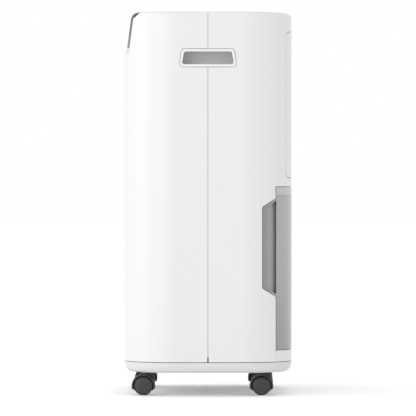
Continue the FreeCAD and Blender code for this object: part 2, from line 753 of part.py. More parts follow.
def make_tank():
    half = dim.bucket_w / 2
    wall = dim.bucket_wall
    low = dim.tank_low
    face_top = dim.tank_high - dim.tank_band
    face = common(skin, box((-FAR, FAR), (dim.tank_edge, FAR), (low, face_top)))
    block = common(outer, box((-half, half), (dim.bucket_front, FAR), (low + 0.5, face_top - 2)))
    hollow = common(inner, box((-half + wall, half - wall), (dim.bucket_front + wall, FAR),
                               (low + 3, 400)))
    parts = [cut(block, hollow), face]
    for sign in (1, -1):
        shallow = half_w - 3
        deep = half - 1
        edge = dim.scoop_edge
        floor_line = [(shallow - 5, edge), (shallow, edge), (half + 4, dim.tank_edge + 2),
                      (half + 4, dim.tank_edge + 12), (deep, dim.tank_edge + 12),
                      (deep, dim.tank_edge)]
        if sign < 0:
            floor_line = [(-x, y) for x, y in reversed(floor_line)]
        ramp = prism("XY_Plane", floor_line, 150, 180)
        full = side_prism(scoop_outline(0), *((140, 195) if sign > 0 else (-195, -140)), 5)
        cup = side_prism(scoop_outline(-2.5), *((140, 200) if sign > 0 else (-200, -140)), 3)
        plate = common(full, ramp)
        walls = common(cut(full, cup), prism(
            "XY_Plane",
            [((half - 1) * sign, dim.scoop_edge + 1), (FAR * sign, dim.scoop_edge + 1),
             (FAR * sign, dim.tank_edge + 12), ((half - 1) * sign, dim.tank_edge + 12)][::sign],
            100, 300))
        parts.append(common(fuse(plate, walls), outer))
    ear_gap = 9
    for side in (-1, 1):
        x = dim.float_x + side * ear_gap
        ear = box((x - 1.5, x + 1.5), (dim.bucket_front + 1, dim.float_y + 5),
                  (dim.float_z - 6, dim.float_z + 6))
        parts.append(ear)
    pin_hole = cylinder("X", dim.float_x - 20, dim.float_y, dim.float_z,
                        dim.float_pin_r + dim.running, 40)
    bucket = cut(fuse(*parts), pin_hole)
    split_piece("tank_bucket", bucket, [
        ((-half, half), ALL, (0, CABINET_TOP)),
        ((half, FAR), ALL, (0, CABINET_TOP)),
        ((-FAR, -half), ALL, (0, CABINET_TOP)),
    ])

    band = common(skin, box((-FAR, FAR), (dim.tank_edge, FAR), (face_top, dim.tank_high)))
    plate = common(inner, box((-half, half), (dim.bucket_front, FAR),
                              (face_top, face_top + 2.5)))
    strip = common(inner, box((-FAR, FAR), (dim.tank_edge, FAR),
                              (face_top, face_top + 2.5)))
    rib = common(inner, box((-half + wall + 0.4, half - wall - 0.4),
                            (dim.bucket_front + wall + 0.4, dim.bucket_front + wall + 2.4),
                            (face_top - 8, face_top + 1)))
    inlet = box((-40, 40), (88, 106), (300, 400))
    fill_vent = cylinder("Z", 96, 70, 300, 16, 100)
    piece("tank_lid", cut(fuse(band, plate, strip, rib), inlet, fill_vent))


def make_float():
    """A foam block on a short arm that rocks on two stub pins."""
    pins = cylinder("X", dim.float_x - 10.5, dim.float_y, dim.float_z, dim.float_pin_r, 21)
    hub = cylinder("X", dim.float_x - 7, dim.float_y, dim.float_z, 4, 14)
    arm = box((dim.float_x - 4, dim.float_x + 4), (dim.float_y, dim.float_y + 30),
              (dim.float_z - 2, dim.float_z + 2))
    block = box((dim.float_x - 22, dim.float_x + 22), (dim.float_y + 16, dim.float_y + 46),
                (dim.float_z - 26, dim.float_z - 1))
    block = rounded(block, 3, upright)
    piece("float_arm", fuse(pins, hub, arm, block))


def make_tank_bay():
    """The liner that the tank slides into: front wall, cheeks, floor and roof."""
    half = dim.bucket_w / 2 + 4
    low = dim.tank_low - 5
    high = dim.tank_high + 3
    front = dim.bucket_front - 7
    stand = dim.body_low + dim.wall + 4
    front_wall = box((-half - 2, half + 2), (front, front + 2), (stand, high + 2))
    floor = common(inner, box((-half - 2, half + 2), (front, 121), (low, low + 2)))
    roof = box((-half - 2, half + 2), (front, dim.tank_edge - 6), (high, high + 2))
    cheeks = [box((x - 1, x + 1), (front, dim.scoop_edge - 6), (low, high + 2))
              for x in (-half - 1, half + 1)]
    drip_space = box((-42, 42), (86, 108), (300, 400))
    rails = [box((x - 2, x + 2), (front + 4, 118), (low + 1.8, dim.tank_low + 0.3)) for x in (-90, 90)]
    posts = [box((x - 4, x + 4), (60, 98), (high + 1, dim.coil_low - 2)) for x in (-142, 142)]
    piece("tank_bay", cut(fuse(front_wall, floor, roof, *cheeks, *rails, *posts), drip_space))


# ---------------------------------------------------------------- base and casters


def caster_places():
    """Name, x sign and y sign of each corner."""
    for end, sy in (("front", -1), ("rear", 1)):
        for side, sx in RIGHT_LEFT:
            yield f"{end}_{side}", sx, sy


def make_base():
    floor_z = dim.body_low + dim.wall
    lower = box((-FAR, FAR), (-FAR, FAR), (0, dim.seam_z - dim.seam_gap / 2))
    lip = common(lip_ring, box((-FAR, FAR), (-85, 85), (floor_z, dim.seam_z + 7)))
    parts = [common(skin, lower), lip]
    for _, sx, sy in caster_places():
        parts.append(cylinder("Z", dim.caster_x * sx, dim.caster_y * sy, floor_z - 1, 8.5, 20))
    for x in (-120, -40, 40, 120):
        parts.append(box((x - 1.5, x + 1.5), (-120, 120), (floor_z - 1, floor_z + 4)))
    for y in (-10, 10):
        parts.append(box((-180, 180), (y - 1.5, y + 1.5), (floor_z - 1, floor_z + 4)))
    for x, y in mount_places():
        parts.append(cylinder("Z", x, y, floor_z - 1, 9, 6))
    for x, y in screw_places:
        boss = cylinder("Z", x, y, dim.body_low, 6, SCREW_SEAT)
        parts.append(common(outer, boss))
    bores = []
    for _, sx, sy in caster_places():
        bores.append(cylinder("Z", dim.caster_x * sx, dim.caster_y * sy, 0,
                              dim.stem_r + dim.running, floor_z + 17))
    for x, y in screw_places:
        bores.append(cylinder("Z", x, y, 0, 2.4, 80))
        bores.append(cylinder("Z", x, y, 0, 4.8, dim.body_low + HEAD_SEAT))
    piece("base_tray", cut(fuse(*parts), group(*bores)))


def make_base_screws():
    screws = []
    for x, y in screw_places:
        head_low = dim.body_low + HEAD_SEAT - 2.4
        head = cylinder("Z", x, y, head_low, 4.4, 2.4)
        shank = cylinder("Z", x, y, head_low + 1, 2, 16)
        slot = box((x - 3, x + 3), (y - 0.5, y + 0.5), (0, head_low + 0.9))
        screws.append(cut(fuse(head, shank), slot))
    piece("base_screws", group(*screws))


def wheel_profile():
    """Half of a wheel's section as (radius, distance along the axle from the inner face)."""
    r = dim.wheel_r
    w = dim.wheel_w
    bore = dim.axle_r + dim.running
    return [
        (bore, 0), (6, 0), (6, 1.2), (r - 3.2, 1.2), (r - 3.2, 0), (r - 1, 0), (r, 1), (r, w - 1.6),
        (r - 1.2, w - 0.4), (r - 2.4, w), (r - 3.6, w - 0.8), (6.4, w - 0.8), (5.6, w), (0, w),
        (0, w - 1.8), (bore, w - 1.8),
    ]


def make_casters():
    """Twin-wheel casters: hood and web, stem and axle, and a wheel on each side of the web."""
    for name, sx, sy in caster_places():
        x = dim.caster_x * sx
        y = dim.caster_y * sy
        axle_y = y - dim.caster_trail
        axle_z = dim.wheel_r
        half = dim.wheel_in + dim.wheel_w
        hood_in = dim.hood_r - dim.hood_t
        ring = cylinder("X", x - half, axle_y, axle_z, dim.hood_r, half * 2)
        boss = cylinder("Z", x, y, axle_z + 6, 8.5, dim.body_low - 0.5 - axle_z - 6)
        space = cylinder("X", x - half - 5, axle_y, axle_z, hood_in, half * 2 + 10)
        tail = box((x - 40, x + 40), (axle_y - 40, axle_y + 40), (-20, axle_z - 5.5))
        web = cylinder("X", x - dim.wheel_in + 0.6, axle_y, axle_z, hood_in + 0.5,
                       (dim.wheel_in - 0.6) * 2)
        web = cut(web, box((x - 40, x + 40), (axle_y - 40, axle_y + 40), (-20, axle_z - 8)))
        hood = fuse(cut(fuse(ring, boss), space, tail), web)
        stem_low = axle_z + 16.3
        stem = cylinder("Z", x, y, stem_low, dim.stem_r, dim.body_low + dim.wall + 16 - stem_low)
        axle = cylinder("X", x - half + 2.2, axle_y, axle_z, dim.axle_r, half * 2 - 4.4)
        piece(f"caster_{name}_hood", cut(hood, stem, axle))
        piece(f"caster_{name}_pins", group(stem, axle))
        for side, sign in RIGHT_LEFT:
            about = Rotation(Vector(0, 1, 0), 90 * sign)
            wheel = revolved(wheel_profile())
            place(wheel, x + dim.wheel_in * sign, axle_y, axle_z, about)
            piece(f"caster_{name}_wheel_{side}", wheel)


# ---------------------------------------------------------------- fan


def make_scroll():
    """The volute round the fan wheel and the duct that widens up to the outlet."""
    front = dim.scroll_y
    back = dim.scroll_y + dim.scroll_w
    wall = 2.5
    duct_top = dim.body_top - dim.outlet_t
    reach = dim.outlet_w / 2 - 3

    def volute(grow, low_y, high_y, top):
        drum = cylinder("Y", 0, low_y, dim.fan_z, dim.scroll_r - grow, high_y - low_y)
        duct = rear_prism([(20 + grow, dim.fan_z + 40), (dim.scroll_r - grow, dim.fan_z),
                           (reach - grow, top), (-reach + grow, top),
                           (-reach + grow, dim.fan_z + 106)], low_y, high_y)
        return fuse(drum, duct)

    body = volute(size(0), front, back, duct_top)
    space = volute(size(wall), front + wall, back - wall, duct_top + 10)
    eye = cylinder("Y", 0, back - 5, dim.fan_z, 62, 10)
    motor_hole = cylinder("Y", 0, front - 5, dim.fan_z, 14, 12)
    studs = [cylinder("Y", 50 * math.cos(a), front - 8, dim.fan_z + 50 * math.sin(a), 4, 8.5)
             for a in (math.pi / 4, 3 * math.pi / 4, 5 * math.pi / 4, 7 * math.pi / 4)]
    piece("fan_scroll", fuse(cut(body, space, eye, motor_hole), *studs))


def make_blower():
    """A centrifugal wheel: back plate and hub, a crown of blades, and a front ring."""
    y = dim.fan_y
    z = dim.fan_z
    blades = 30
    body = doc.addObject("PartDesign::Body", "Blower")

    def pad_of(draw, start, length):
        sketch = new_sketch(body, "XZ_Plane", -size(start))
        draw(sketch)
        pad = body.newObject("PartDesign::Pad", "Pad")
        pad.Profile = sketch
        pad.Reversed = True
        bind(pad, "Length", length)
        doc.recompute()
        return pad

    def circles(*radii):
        def draw(sketch):
            for radius in radii:
                ring = Part.Circle(Vector(0, 0, 0), Vector(0, 0, 1), size(radius).number)
                index = sketch.addGeometry(ring, False)
                sketch.addConstraint(Sketcher.Constraint("Coincident", index, 3, -1, 1))
                held = sketch.addConstraint(Sketcher.Constraint("Radius", index, size(radius).number))
                bind(sketch, f"Constraints[{held}]", radius)
        return draw

    pad_of(circles(dim.fan_r, dim.shaft_r), 0, 2)
    pad_of(circles(12, dim.shaft_r), 0, 22)
    pad_of(circles(dim.fan_r, dim.fan_r - 9), dim.fan_w - 2, 2)
    reach = dim.fan_r - 0.5
    root = dim.fan_r - 13
    blade = pad_of(lambda s: polygon(s, [(root, -1), (reach, 3.5), (reach, 5), (root, 0.5)]),
                   0.5, dim.fan_w - 1)
    pattern = body.newObject("PartDesign::PolarPattern", "Crown")
    pattern.Originals = [blade]
    pattern.Axis = (next(f for f in body.Origin.OriginFeatures if f.Role == "Y_Axis"), [""])
    pattern.Angle = 360
    pattern.Occurrences = blades
    body.Tip = pattern
    place(body, 0, y, z)
    piece("blower_wheel", body)
    length = 92
    piece("fan_shaft", cylinder("Y", 0, y + 22 - length, z, dim.shaft_r, length))


def make_motor():
    front = dim.scroll_y - 66
    z = dim.fan_z
    can = rounded(cylinder("Y", 0, front, z, dim.motor_r, 50), 6,
                  lambda b: b.YLength < 0.01 and b.XLength > 20)
    nose = cylinder("Y", 0, front + 49, z, 12, 10)
    plate = cut(box((-50, 50), (front + 44, front + 46.5), (z - 50, z + 50)),
                cylinder("Y", 0, front, z, dim.motor_r - 2, 60))
    legs = [cylinder("Y", 50 * math.cos(a), front + 44, z + 50 * math.sin(a), 5, 14)
            for a in (math.pi / 4, 3 * math.pi / 4, 5 * math.pi / 4, 7 * math.pi / 4)]
    bore = cylinder("Y", 0, front + 2, z, dim.shaft_r + dim.running, 70)
    piece("fan_motor", cut(fuse(can, nose, plate, *legs), bore))


# ---------------------------------------------------------------- refrigeration


def coil(name, y, first_x):
    """A fin pack and the serpentine of tube that runs through it."""
    half = dim.coil_w / 2
    rows = 8
    pitch = 28
    low = dim.coil_low + (DIMENSIONS["coil_high"] - DIMENSIONS["coil_low"] - (rows - 1) * pitch) / 2
    slabs = []
    fins = 25
    step = DIMENSIONS["coil_w"] / (fins - 1)
    for i in range(fins):
        x = -half + step * i
        slabs.append(box((x - 0.5, x + 0.5), (y, y + dim.coil_t), (dim.coil_low, dim.coil_high)))
    spacers = [box((-half, half), (y + 2, y + 5), (dim.coil_low + 2, dim.coil_low + 4)),
               box((-half, half), (y + 2, y + 5), (dim.coil_high - 4, dim.coil_high - 2))]
    bores = []
    points = []
    middle = size(y + dim.coil_t / 2).number
    reach = half.number + 2
    for i in range(rows):
        z = (low + pitch * i).number
        bores.append(cylinder("X", -half - 5, middle, z, dim.coil_tube_r, dim.coil_w + 10))
        side = first_x if i % 2 == 0 else -first_x
        points.append((side * (reach + pitch / 2), middle, z))
        points.append((-side * (reach + pitch / 2), middle, z))
    piece(f"{name}_fins", cut(fuse(*slabs, *spacers), group(*bores)))
    points[0] = (first_x * (reach + 4), middle, points[0][2])
    last = points[-1]
    points[-1] = (math.copysign(reach + 4, last[0]), middle, last[2])
    piece(f"{name}_tubes", tube(points, dim.coil_tube_r.number, pitch / 2 - 0.01))
    return points[0], points[-1]


def make_shroud():
    """The sheet duct that holds both coils and leads the air to the fan."""
    half = dim.coil_w / 2 + 24
    front = dim.scroll_y + dim.scroll_w
    back = dim.evap_y + dim.coil_t + 1
    low = dim.coil_low - 2
    high = dim.coil_high + 4
    outside = box((-half, half), (front, back), (low, high))
    inside = box((-half + 1.5, half - 1.5), (front + 1.5, back + 5), (low + 1.5, high - 1.5))
    eye = cylinder("Y", 0, front - 5, dim.fan_z, 74, 10)
    weep = box((-36, 36), (dim.evap_y, dim.evap_y + dim.coil_t), (low - 2, low + 5))
    pipe_slots = [box((half - 5, half + 5), (dim.cond_y, dim.evap_y + 18), span)
                  for span in ((low + 6, low + 34), (high - 34, high - 6))]
    piece("coil_shroud", cut(outside, inside, eye, weep, *pipe_slots))


def make_drip_tray():
    half = 60
    low = dim.tank_high + 7
    high = dim.coil_low - 2.3
    pan = cut(box((-half, half), (dim.evap_y - 6, 117), (low, high)),
              box((-half + 2, half - 2), (dim.evap_y - 4, 115), (low + 2, high + 5)))
    spout = cylinder("Z", 0, 98, low - 5, 6, 6)
    drop = cylinder("Z", 0, 98, low - 10, 4, 20)
    piece("drip_tray", cut(fuse(pan, spout), drop))


def mount_places():
    """Where the compressor's three rubber feet stand."""
    for angle in (90, 210, 330):
        a = math.radians(angle)
        yield (DIMENSIONS["compressor_x"] + 50 * math.cos(a),
               DIMENSIONS["compressor_y"] + 50 * math.sin(a))


def make_compressor():
    x = dim.compressor_x
    y = dim.compressor_y
    low = dim.body_low + dim.wall + 5
    feet = []
    bolts = []
    for px, py in mount_places():
        grommet = cut(cylinder("Z", px, py, low, 8, 14), cylinder("Z", px, py, low - 1, 3, 20))
        bolt = fuse(cylinder("Z", px, py, low, 3, 19), cylinder("Z", px, py, low + 16, 6, 3))
        feet.append(grommet)
        bolts.append(bolt)
    piece("compressor_mounts", group(*feet, *bolts))
    base = low + 14
    can = cylinder("Z", x, y, base + 10, dim.compressor_r, 150)
    can = rounded(can, 26, lambda b: b.ZLength < 0.01 and b.XLength > 50)
    plate = cylinder("Z", x, y, base, 60, 2)
    skirt = cylinder("Z", x, y, base + 1, 30, 20)
    weld = cylinder("Z", x, y, base + 82, dim.compressor_r + 1.5, 4)
    cap = cylinder("Z", x, y - 20, base + 155, 14, 16)
    holes = [cylinder("Z", px, py, base - 1, 3.2, 4) for px, py in mount_places()]
    compressor = piece("compressor", cut(fuse(can, plate, skirt, weld, cap), group(*holes)))
    flask = cylinder("Z", 6, -84, 90, 19, 110)
    flask = rounded(flask, 9, lambda b: b.ZLength < 0.01 and b.XLength > 20)
    strap = box((-26, -8), (-92, -76), (120, 132))
    piece("accumulator", cut(fuse(flask, strap), compressor))


def make_services():
    """Control electronics, run capacitor, drain port with its plug, and the cord's inlet."""
    case = rounded(box((34, 122), (-112, -40), (45, 178)), 4, upright)
    lid_line = box((30, 130), (-120, -30), (150, 151.2))
    core = box((36, 120), (-110, -42), (140, 160))
    terminal = box((50, 106), (-96, -56), (178, 190))
    piece("electrical_box", fuse(cut(case, cut(lid_line, core)), terminal))
    can = cylinder("Z", 152, -20, 45, 20, 74)
    tabs = [box((x - 3, x + 3), (-21, -19), (118, 127)) for x in (146, 158)]
    piece("capacitor", fuse(can, *tabs))

    y = dim.drain_y
    z = dim.drain_z
    outside = -half_w + 1
    bore = dim.drain_bore / 2
    socket = cylinder("X", outside, y, z, 10.6, 2.4)
    barrel = cylinder("X", outside, y, z, bore + 2, 26)
    flange = cylinder("X", -half_w + dim.wall + 0.2, y, z, 14, 2)
    hole = cylinder("X", outside - 5, y, z, bore, 60)
    piece("drain_port", cut(fuse(socket, barrel, flange), hole))
    plug_r = bore - 0.1
    shank = cylinder("X", outside - 0.2, y, z, plug_r, 16)
    head = cylinder("X", -half_w - 0.5, y, z, 9, 1.3)
    nail_slot = box((-half_w - 1, -half_w - 0.1), (y - 1, y + 1), (z - 6, z + 6))
    piece("drain_plug", cut(fuse(shank, head), nail_slot))

    gx = dim.gland_x
    gz = dim.gland_z
    front = 124
    body = cylinder("Y", gx, front, gz, 6.9, 12.4)
    collar = cylinder("Y", gx, front + 12, gz, 8.4, 1.2)
    nut = cylinder("Y", gx, front + 2, gz, 9, 5)
    hole = cylinder("Y", gx, front - 5, gz, dim.gland_bore / 2, 40)
    piece("cord_gland", cut(fuse(body, collar, nut), hole))


def make_pipes(evap_ends, cond_ends):
    """Discharge, suction and capillary lines between the compressor and the coils."""
    x = DIMENSIONS["compressor_x"]
    y = DIMENSIONS["compressor_y"]
    top = 215
    outer_lead = 174
    lead = 162
    cond_in = cond_ends[0]
    evap_out = evap_ends[0]
    discharge = tube([(x - 24, y + 20, top), (x - 24, y + 20, 300), (outer_lead, y + 20, 300),
                      (outer_lead, y + 20, cond_in[2]), (outer_lead, cond_in[1], cond_in[2]),
                      cond_in], 3, 10)
    suction = tube([(6, -84, 200), (6, -84, 270), (lead, -84, 270), (lead, -84, 334),
                    (lead, evap_out[1], 334), (lead, evap_out[1], evap_out[2]), evap_out], 4, 10)
    link = tube([(6, -84, 90), (6, -84, 76), (-30, -84, 76), (-30, -84, 96)], 4, 6)
    cond_out = cond_ends[1]
    evap_in = evap_ends[1]
    capillary = tube([cond_out, (lead, cond_out[1], cond_out[2]), (lead, evap_in[1], evap_in[2]),
                      evap_in], 1.5, 6)
    compressor = pieces["compressor"]
    piece("refrigerant_pipes", group(cut(discharge, compressor), suction, cut(link, compressor), capillary))


# ---------------------------------------------------------------- assembly and export

make_front_shell()
make_rear_shell()
make_base()
make_base_screws()
make_handles()
make_fascia()
make_keys()
make_boards()
make_outlet_grille()
make_inlet_grille()
make_filter()
make_tank()
make_float()
make_tank_bay()
make_casters()
make_scroll()
make_blower()
make_motor()
evap_tube_ends = coil("evaporator", dim.evap_y, 1)
cond_tube_ends = coil("condenser", dim.cond_y, 1)
make_shroud()
make_drip_tray()
make_compressor()
make_services()
make_pipes(evap_tube_ends, cond_tube_ends)
doc.recompute()

broken = [o.Label for o in doc.Objects if {"Invalid", "Error"} & set(o.State)]
if broken:
    raise SystemExit(f"failed objects: {broken}")
for label, obj in pieces.items():
    if obj.Shape.isNull() or not obj.Shape.isValid():
        raise SystemExit(f"bad shape: {label}")

os.makedirs("parts", exist_ok=True)
for label, obj in pieces.items():
    obj.Shape.exportStep(f"parts/{label}.step")
print(len(pieces), "pieces")
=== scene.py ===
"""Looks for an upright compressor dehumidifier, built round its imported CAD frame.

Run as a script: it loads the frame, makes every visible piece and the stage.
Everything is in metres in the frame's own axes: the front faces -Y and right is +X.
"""
import json
import math

import bmesh
import bpy
from bpy.props import FloatProperty, FloatVectorProperty, IntProperty, PointerProperty
from mathutils import Matrix, Vector


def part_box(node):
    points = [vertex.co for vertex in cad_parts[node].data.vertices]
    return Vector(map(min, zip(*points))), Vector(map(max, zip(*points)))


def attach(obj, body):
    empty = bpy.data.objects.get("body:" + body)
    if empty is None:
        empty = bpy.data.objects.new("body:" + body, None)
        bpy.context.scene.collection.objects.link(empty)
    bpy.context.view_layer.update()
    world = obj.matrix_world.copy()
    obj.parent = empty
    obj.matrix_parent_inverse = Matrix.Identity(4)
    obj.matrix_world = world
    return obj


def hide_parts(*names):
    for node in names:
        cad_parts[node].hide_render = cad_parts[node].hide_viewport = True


bl_info = {
    "name": "Dehumidifier Looks",
    "version": (1, 0, 0),
    "blender": (4, 5, 0),
    "location": "View3D > Sidebar > Dehumidifier",
    "description": "Builds the visible pieces of a dehumidifier round its CAD frame",
    "category": "Object",
}

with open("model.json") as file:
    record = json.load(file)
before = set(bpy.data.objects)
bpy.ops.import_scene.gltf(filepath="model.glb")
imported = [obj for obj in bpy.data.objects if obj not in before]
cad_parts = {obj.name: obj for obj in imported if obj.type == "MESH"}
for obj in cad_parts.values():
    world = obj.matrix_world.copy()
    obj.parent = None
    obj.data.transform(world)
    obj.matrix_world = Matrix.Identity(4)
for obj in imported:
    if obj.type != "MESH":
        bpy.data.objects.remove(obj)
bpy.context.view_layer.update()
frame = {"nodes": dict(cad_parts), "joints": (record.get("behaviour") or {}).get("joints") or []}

MM = 0.001
RIGHT_LEFT = (("right", 1), ("left", -1))
CORNERS = [(f"{end}_{side}", sx, sy) for end, sy in (("front", -1), ("rear", 1))
           for side, sx in RIGHT_LEFT]
KEYS = ("power", "mode", "lower", "raise", "timer", "fan")

# ---------------------------------------------------------------- sizes and colours


def length(name, description, default):
    """A length in metres that a user may change."""
    return FloatProperty(name=name, description=description, default=default, min=0, unit="LENGTH",
                         subtype="DISTANCE", precision=5)


def colour(name, description, default):
    """A colour that a user may change."""
    return FloatVectorProperty(name=name, description=description, default=default, size=3,
                               min=0, max=1, subtype="COLOR")


shell_low, shell_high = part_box("front_shell")
base_low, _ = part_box("base_tray")
tank_low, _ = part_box("tank_bucket")
_, lid_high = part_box("tank_lid")
inlet_low, inlet_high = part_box("inlet_grille")
outlet_low, outlet_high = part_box("outlet_grille")
window_low, window_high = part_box("display_window")


class CabinetSizes(bpy.types.PropertyGroup):
    """The cabinet's form and the gaps between its mouldings."""

    half_width: length("Half Width", "Middle to side face", shell_high.x)
    half_depth: length("Half Depth", "Middle to the crown of the front", -shell_low.y)
    top: length("Top", "Height of the top face", shell_high.z)
    underside: length("Underside", "Height of the base's lower face", base_low.z)
    seam: length("Seam", "Height of the joint between base and shells", 55 * MM)
    corner: length("Corner Radius", "Radius of the upright corners in plan", 80 * MM)
    bow: length("Bow Radius", "Radius of the bowed front and back in plan", 1.8)
    wall: length("Wall", "Thickness of the mouldings", 3 * MM)
    top_round: length("Top Round", "Radius of the top edge", 5 * MM)
    low_round: length("Low Round", "Radius of the base's lower edge", 11 * MM)
    seam_gap: length("Seam Gap", "Width of the joint above the base", 0.8 * MM)
    split_gap: length("Split Gap", "Width of the joint between the two shells", 1.8 * MM)
    edge: length("Edge Round", "Radius of a moulding's small edges", 0.5 * MM)


class GripSizes(bpy.types.PropertyGroup):
    """The grab handles in the sides."""

    height: length("Height Above Floor", "Middle of the handle", 543.5 * MM)
    rim_height: length("Rim Height", "Outer height of the rim", 28.8 * MM)
    rim_top: length("Rim Top Width", "Outer width at the top", 84.3 * MM)
    rim_foot: length("Rim Foot Width", "Outer width at the bottom", 92.3 * MM)
    hole_height: length("Hole Height", "Height of the finger hole", 20.2 * MM)
    hole_top: length("Hole Top Width", "Width of the finger hole at its top", 76 * MM)
    hole_foot: length("Hole Foot Width", "Width of the finger hole at its bottom", 83.5 * MM)
    depth: length("Depth", "Depth of the finger hole", 36 * MM)
    rise: length("Rim Rise", "How far the rim stands proud", 0.5 * MM)
    gap: length("Gap", "Groove between rim and shell", 0.6 * MM)


class PanelSizes(bpy.types.PropertyGroup):
    """The leaning control panel."""

    foot: length("Foot", "Height of the panel's lower edge", 561 * MM)
    back: length("Set Back", "How far the foot lies behind the front face", 4 * MM)
    lean: FloatProperty(name="Lean", description="Backward lean of the panel",
                        default=math.radians(7.4), subtype="ANGLE")
    bow: length("Bow Radius", "Radius of the panel in plan", 3.0)
    turn: length("Turn Radius", "Radius where the panel turns onto the top", 12 * MM)
    reach: length("Reach", "Distance from the middle to the panel's rear end", 58 * MM)
    width: length("Width", "Width on the top face", 332 * MM)
    thickness: length("Thickness", "Thickness of the panel", 3 * MM)
    chamfer: length("Chamfer", "Height of the slope under the panel", 8 * MM)


class RearSizes(bpy.types.PropertyGroup):
    """The inlet panel and the water tank."""

    inlet_edge: length("Inlet Edge", "Distance from the middle to the inlet panel's side edges",
                       125.5 * MM)
    slot_first: length("First Slot", "Height of the lowest slot", 369 * MM)
    slot_pitch: length("Slot Pitch", "Height from slot to slot", 8 * MM)
    slot_height: length("Slot Height", "Height of one slot", 5 * MM)
    slot_half: length("Slot Half Width", "Middle to the slots' ends", 90 * MM)
    slot_count: IntProperty(name="Slots", description="How many slots", default=24, min=1)
    tank_edge: length("Tank Edge", "Distance from the middle to the tank's side edges", 109.7 * MM)
    scoop_edge: length("Scoop Edge", "Distance from the middle to the finger scoops", 87.8 * MM)
    scoop_low: length("Scoop Low", "Height of the scoop's lower end", 174.6 * MM)
    scoop_high: length("Scoop High", "Height of the scoop's upper end", 303.8 * MM)
    scoop_spread: length("Scoop Spread", "How far its ends slope outwards", 14 * MM)
    tank_band: length("Lid Band", "Height of the lid's visible band", 12.8 * MM)


class Colours(bpy.types.PropertyGroup):
    """Finishes that a user may want to change."""

    shell: colour("Shell", "Both cabinet shells", (0.665, 0.665, 0.662))
    base: colour("Base", "Base moulding", (0.6, 0.6, 0.597))
    panel: colour("Panel", "Control panel", (0.075, 0.075, 0.08))
    tank: colour("Tank", "Smoky water tank", (0.335, 0.335, 0.338))
    tank_band: colour("Tank Lid", "Lid and its visible band", (0.43, 0.43, 0.435))
    caster: colour("Caster", "Caster mouldings", (0.024, 0.024, 0.026))
    floor: colour("Floor", "Studio floor", (0.9, 0.9, 0.9))


def settings(kind):
    """The scene's values for one group of settings."""
    return getattr(bpy.context.scene, f"dehumidifier_{kind}")


# ---------------------------------------------------------------- shader maths


class Value:
    """A node socket that Python's operators work on."""

    def __init__(self, shader, socket):
        self.shader = shader
        self.socket = socket

    def maths(self, operation, first, second=None):
        values = [first] if second is None else [first, second]
        return self.shader.node("ShaderNodeMath", {"operation": operation}, dict(enumerate(values)))

    def __add__(self, other):
        return self.maths("ADD", self, other)

    def __radd__(self, other):
        return self.maths("ADD", other, self)

    def __sub__(self, other):
        return self.maths("SUBTRACT", self, other)

    def __rsub__(self, other):
        return self.maths("SUBTRACT", other, self)

    def __mul__(self, other):
        return self.maths("MULTIPLY", self, other)

    def __rmul__(self, other):
        return self.maths("MULTIPLY", other, self)

    def __truediv__(self, other):
        return self.maths("DIVIDE", self, other)

    def __pow__(self, other):
        return self.maths("POWER", self, other)

    def above(self, limit):
        return self.maths("GREATER_THAN", self, limit)

    def fraction(self):
        return self.maths("FRACT", self)

    def distance_from(self, middle):
        return self.maths("ABSOLUTE", self - middle)

    def smooth(self, low, high):
        """0 below low, 1 above high, and a smooth step between."""
        return self.shader.node("ShaderNodeMapRange", {"interpolation_type": "SMOOTHSTEP"},
                                {"Value": self, "From Min": low, "From Max": high})


class Shader:
    """A material under construction."""

    def __init__(self, name, **surface):
        self.material = bpy.data.materials.new(name)
        self.material.use_nodes = True
        self.tree = self.material.node_tree
        self.surface = next(n for n in self.tree.nodes if n.type == "BSDF_PRINCIPLED")
        for socket, value in surface.items():
            self.set(socket.replace("_", " ").title(), value)
        self.place = self.node("ShaderNodeTexCoord", {}, {}, "Object")

    def link(self, socket, value):
        if isinstance(value, Value):
            self.tree.links.new(value.socket, socket)
        elif isinstance(value, (tuple, list)) and socket.type == "RGBA" and len(value) == 3:
            socket.default_value = (*value, 1)
        else:
            socket.default_value = value

    def node(self, kind, options, inputs, output=0):
        """Add a node: its options first, then each input's number or link."""
        made = self.tree.nodes.new(kind)
        for name, option in options.items():
            if name == "stops":
                self.stops(made.color_ramp, option)
            else:
                setattr(made, name, option)
        for name, value in inputs.items():
            self.link(made.inputs[name], value)
        return Value(self, made.outputs[output])

    def stops(self, ramp, stops):
        while len(ramp.elements) < len(stops):
            ramp.elements.new(0.5)
        for element, (position, shade) in zip(ramp.elements, stops):
            element.position = position
            element.color = (*shade, 1)

    def set(self, socket, value):
        self.link(self.surface.inputs[socket], value)

    def axes(self):
        """The object's own X, Y and Z in metres."""
        return [self.node("ShaderNodeSeparateXYZ", {}, {"Vector": self.place}, axis)
                for axis in "XYZ"]

    def noise(self, scale, detail=2.0, roughness=0.5, stretch=None):
        """Noise whose grains are about 1 / scale metres wide."""
        place = self.place if stretch is None else self.stretched(stretch)
        return self.node("ShaderNodeTexNoise", {},
                         {"Vector": place, "Scale": scale, "Detail": detail, "Roughness": roughness})

    def stretched(self, scale):
        return self.node("ShaderNodeMapping", {}, {"Vector": self.place, "Scale": scale})

    def cells(self, scale, feature="F1", output="Distance"):
        return self.node("ShaderNodeTexVoronoi", {"feature": feature},
                         {"Vector": self.place, "Scale": scale}, output)

    def mix(self, factor, first, second):
        """A blend of two colours."""
        made = self.tree.nodes.new("ShaderNodeMix")
        made.data_type = "RGBA"
        sockets = {s.identifier: s for s in made.inputs}
        self.link(sockets["Factor_Float"], factor)
        self.link(sockets["A_Color"], first)
        self.link(sockets["B_Color"], second)
        return Value(self, next(s for s in made.outputs if s.identifier == "Result_Color"))

    def bump(self, height, depth, strength=1.0):
        """Raise the surface by a height pattern of the given depth in metres."""
        self.set("Normal", self.node("ShaderNodeBump", {}, {"Height": height, "Distance": depth,
                                                            "Strength": strength}))


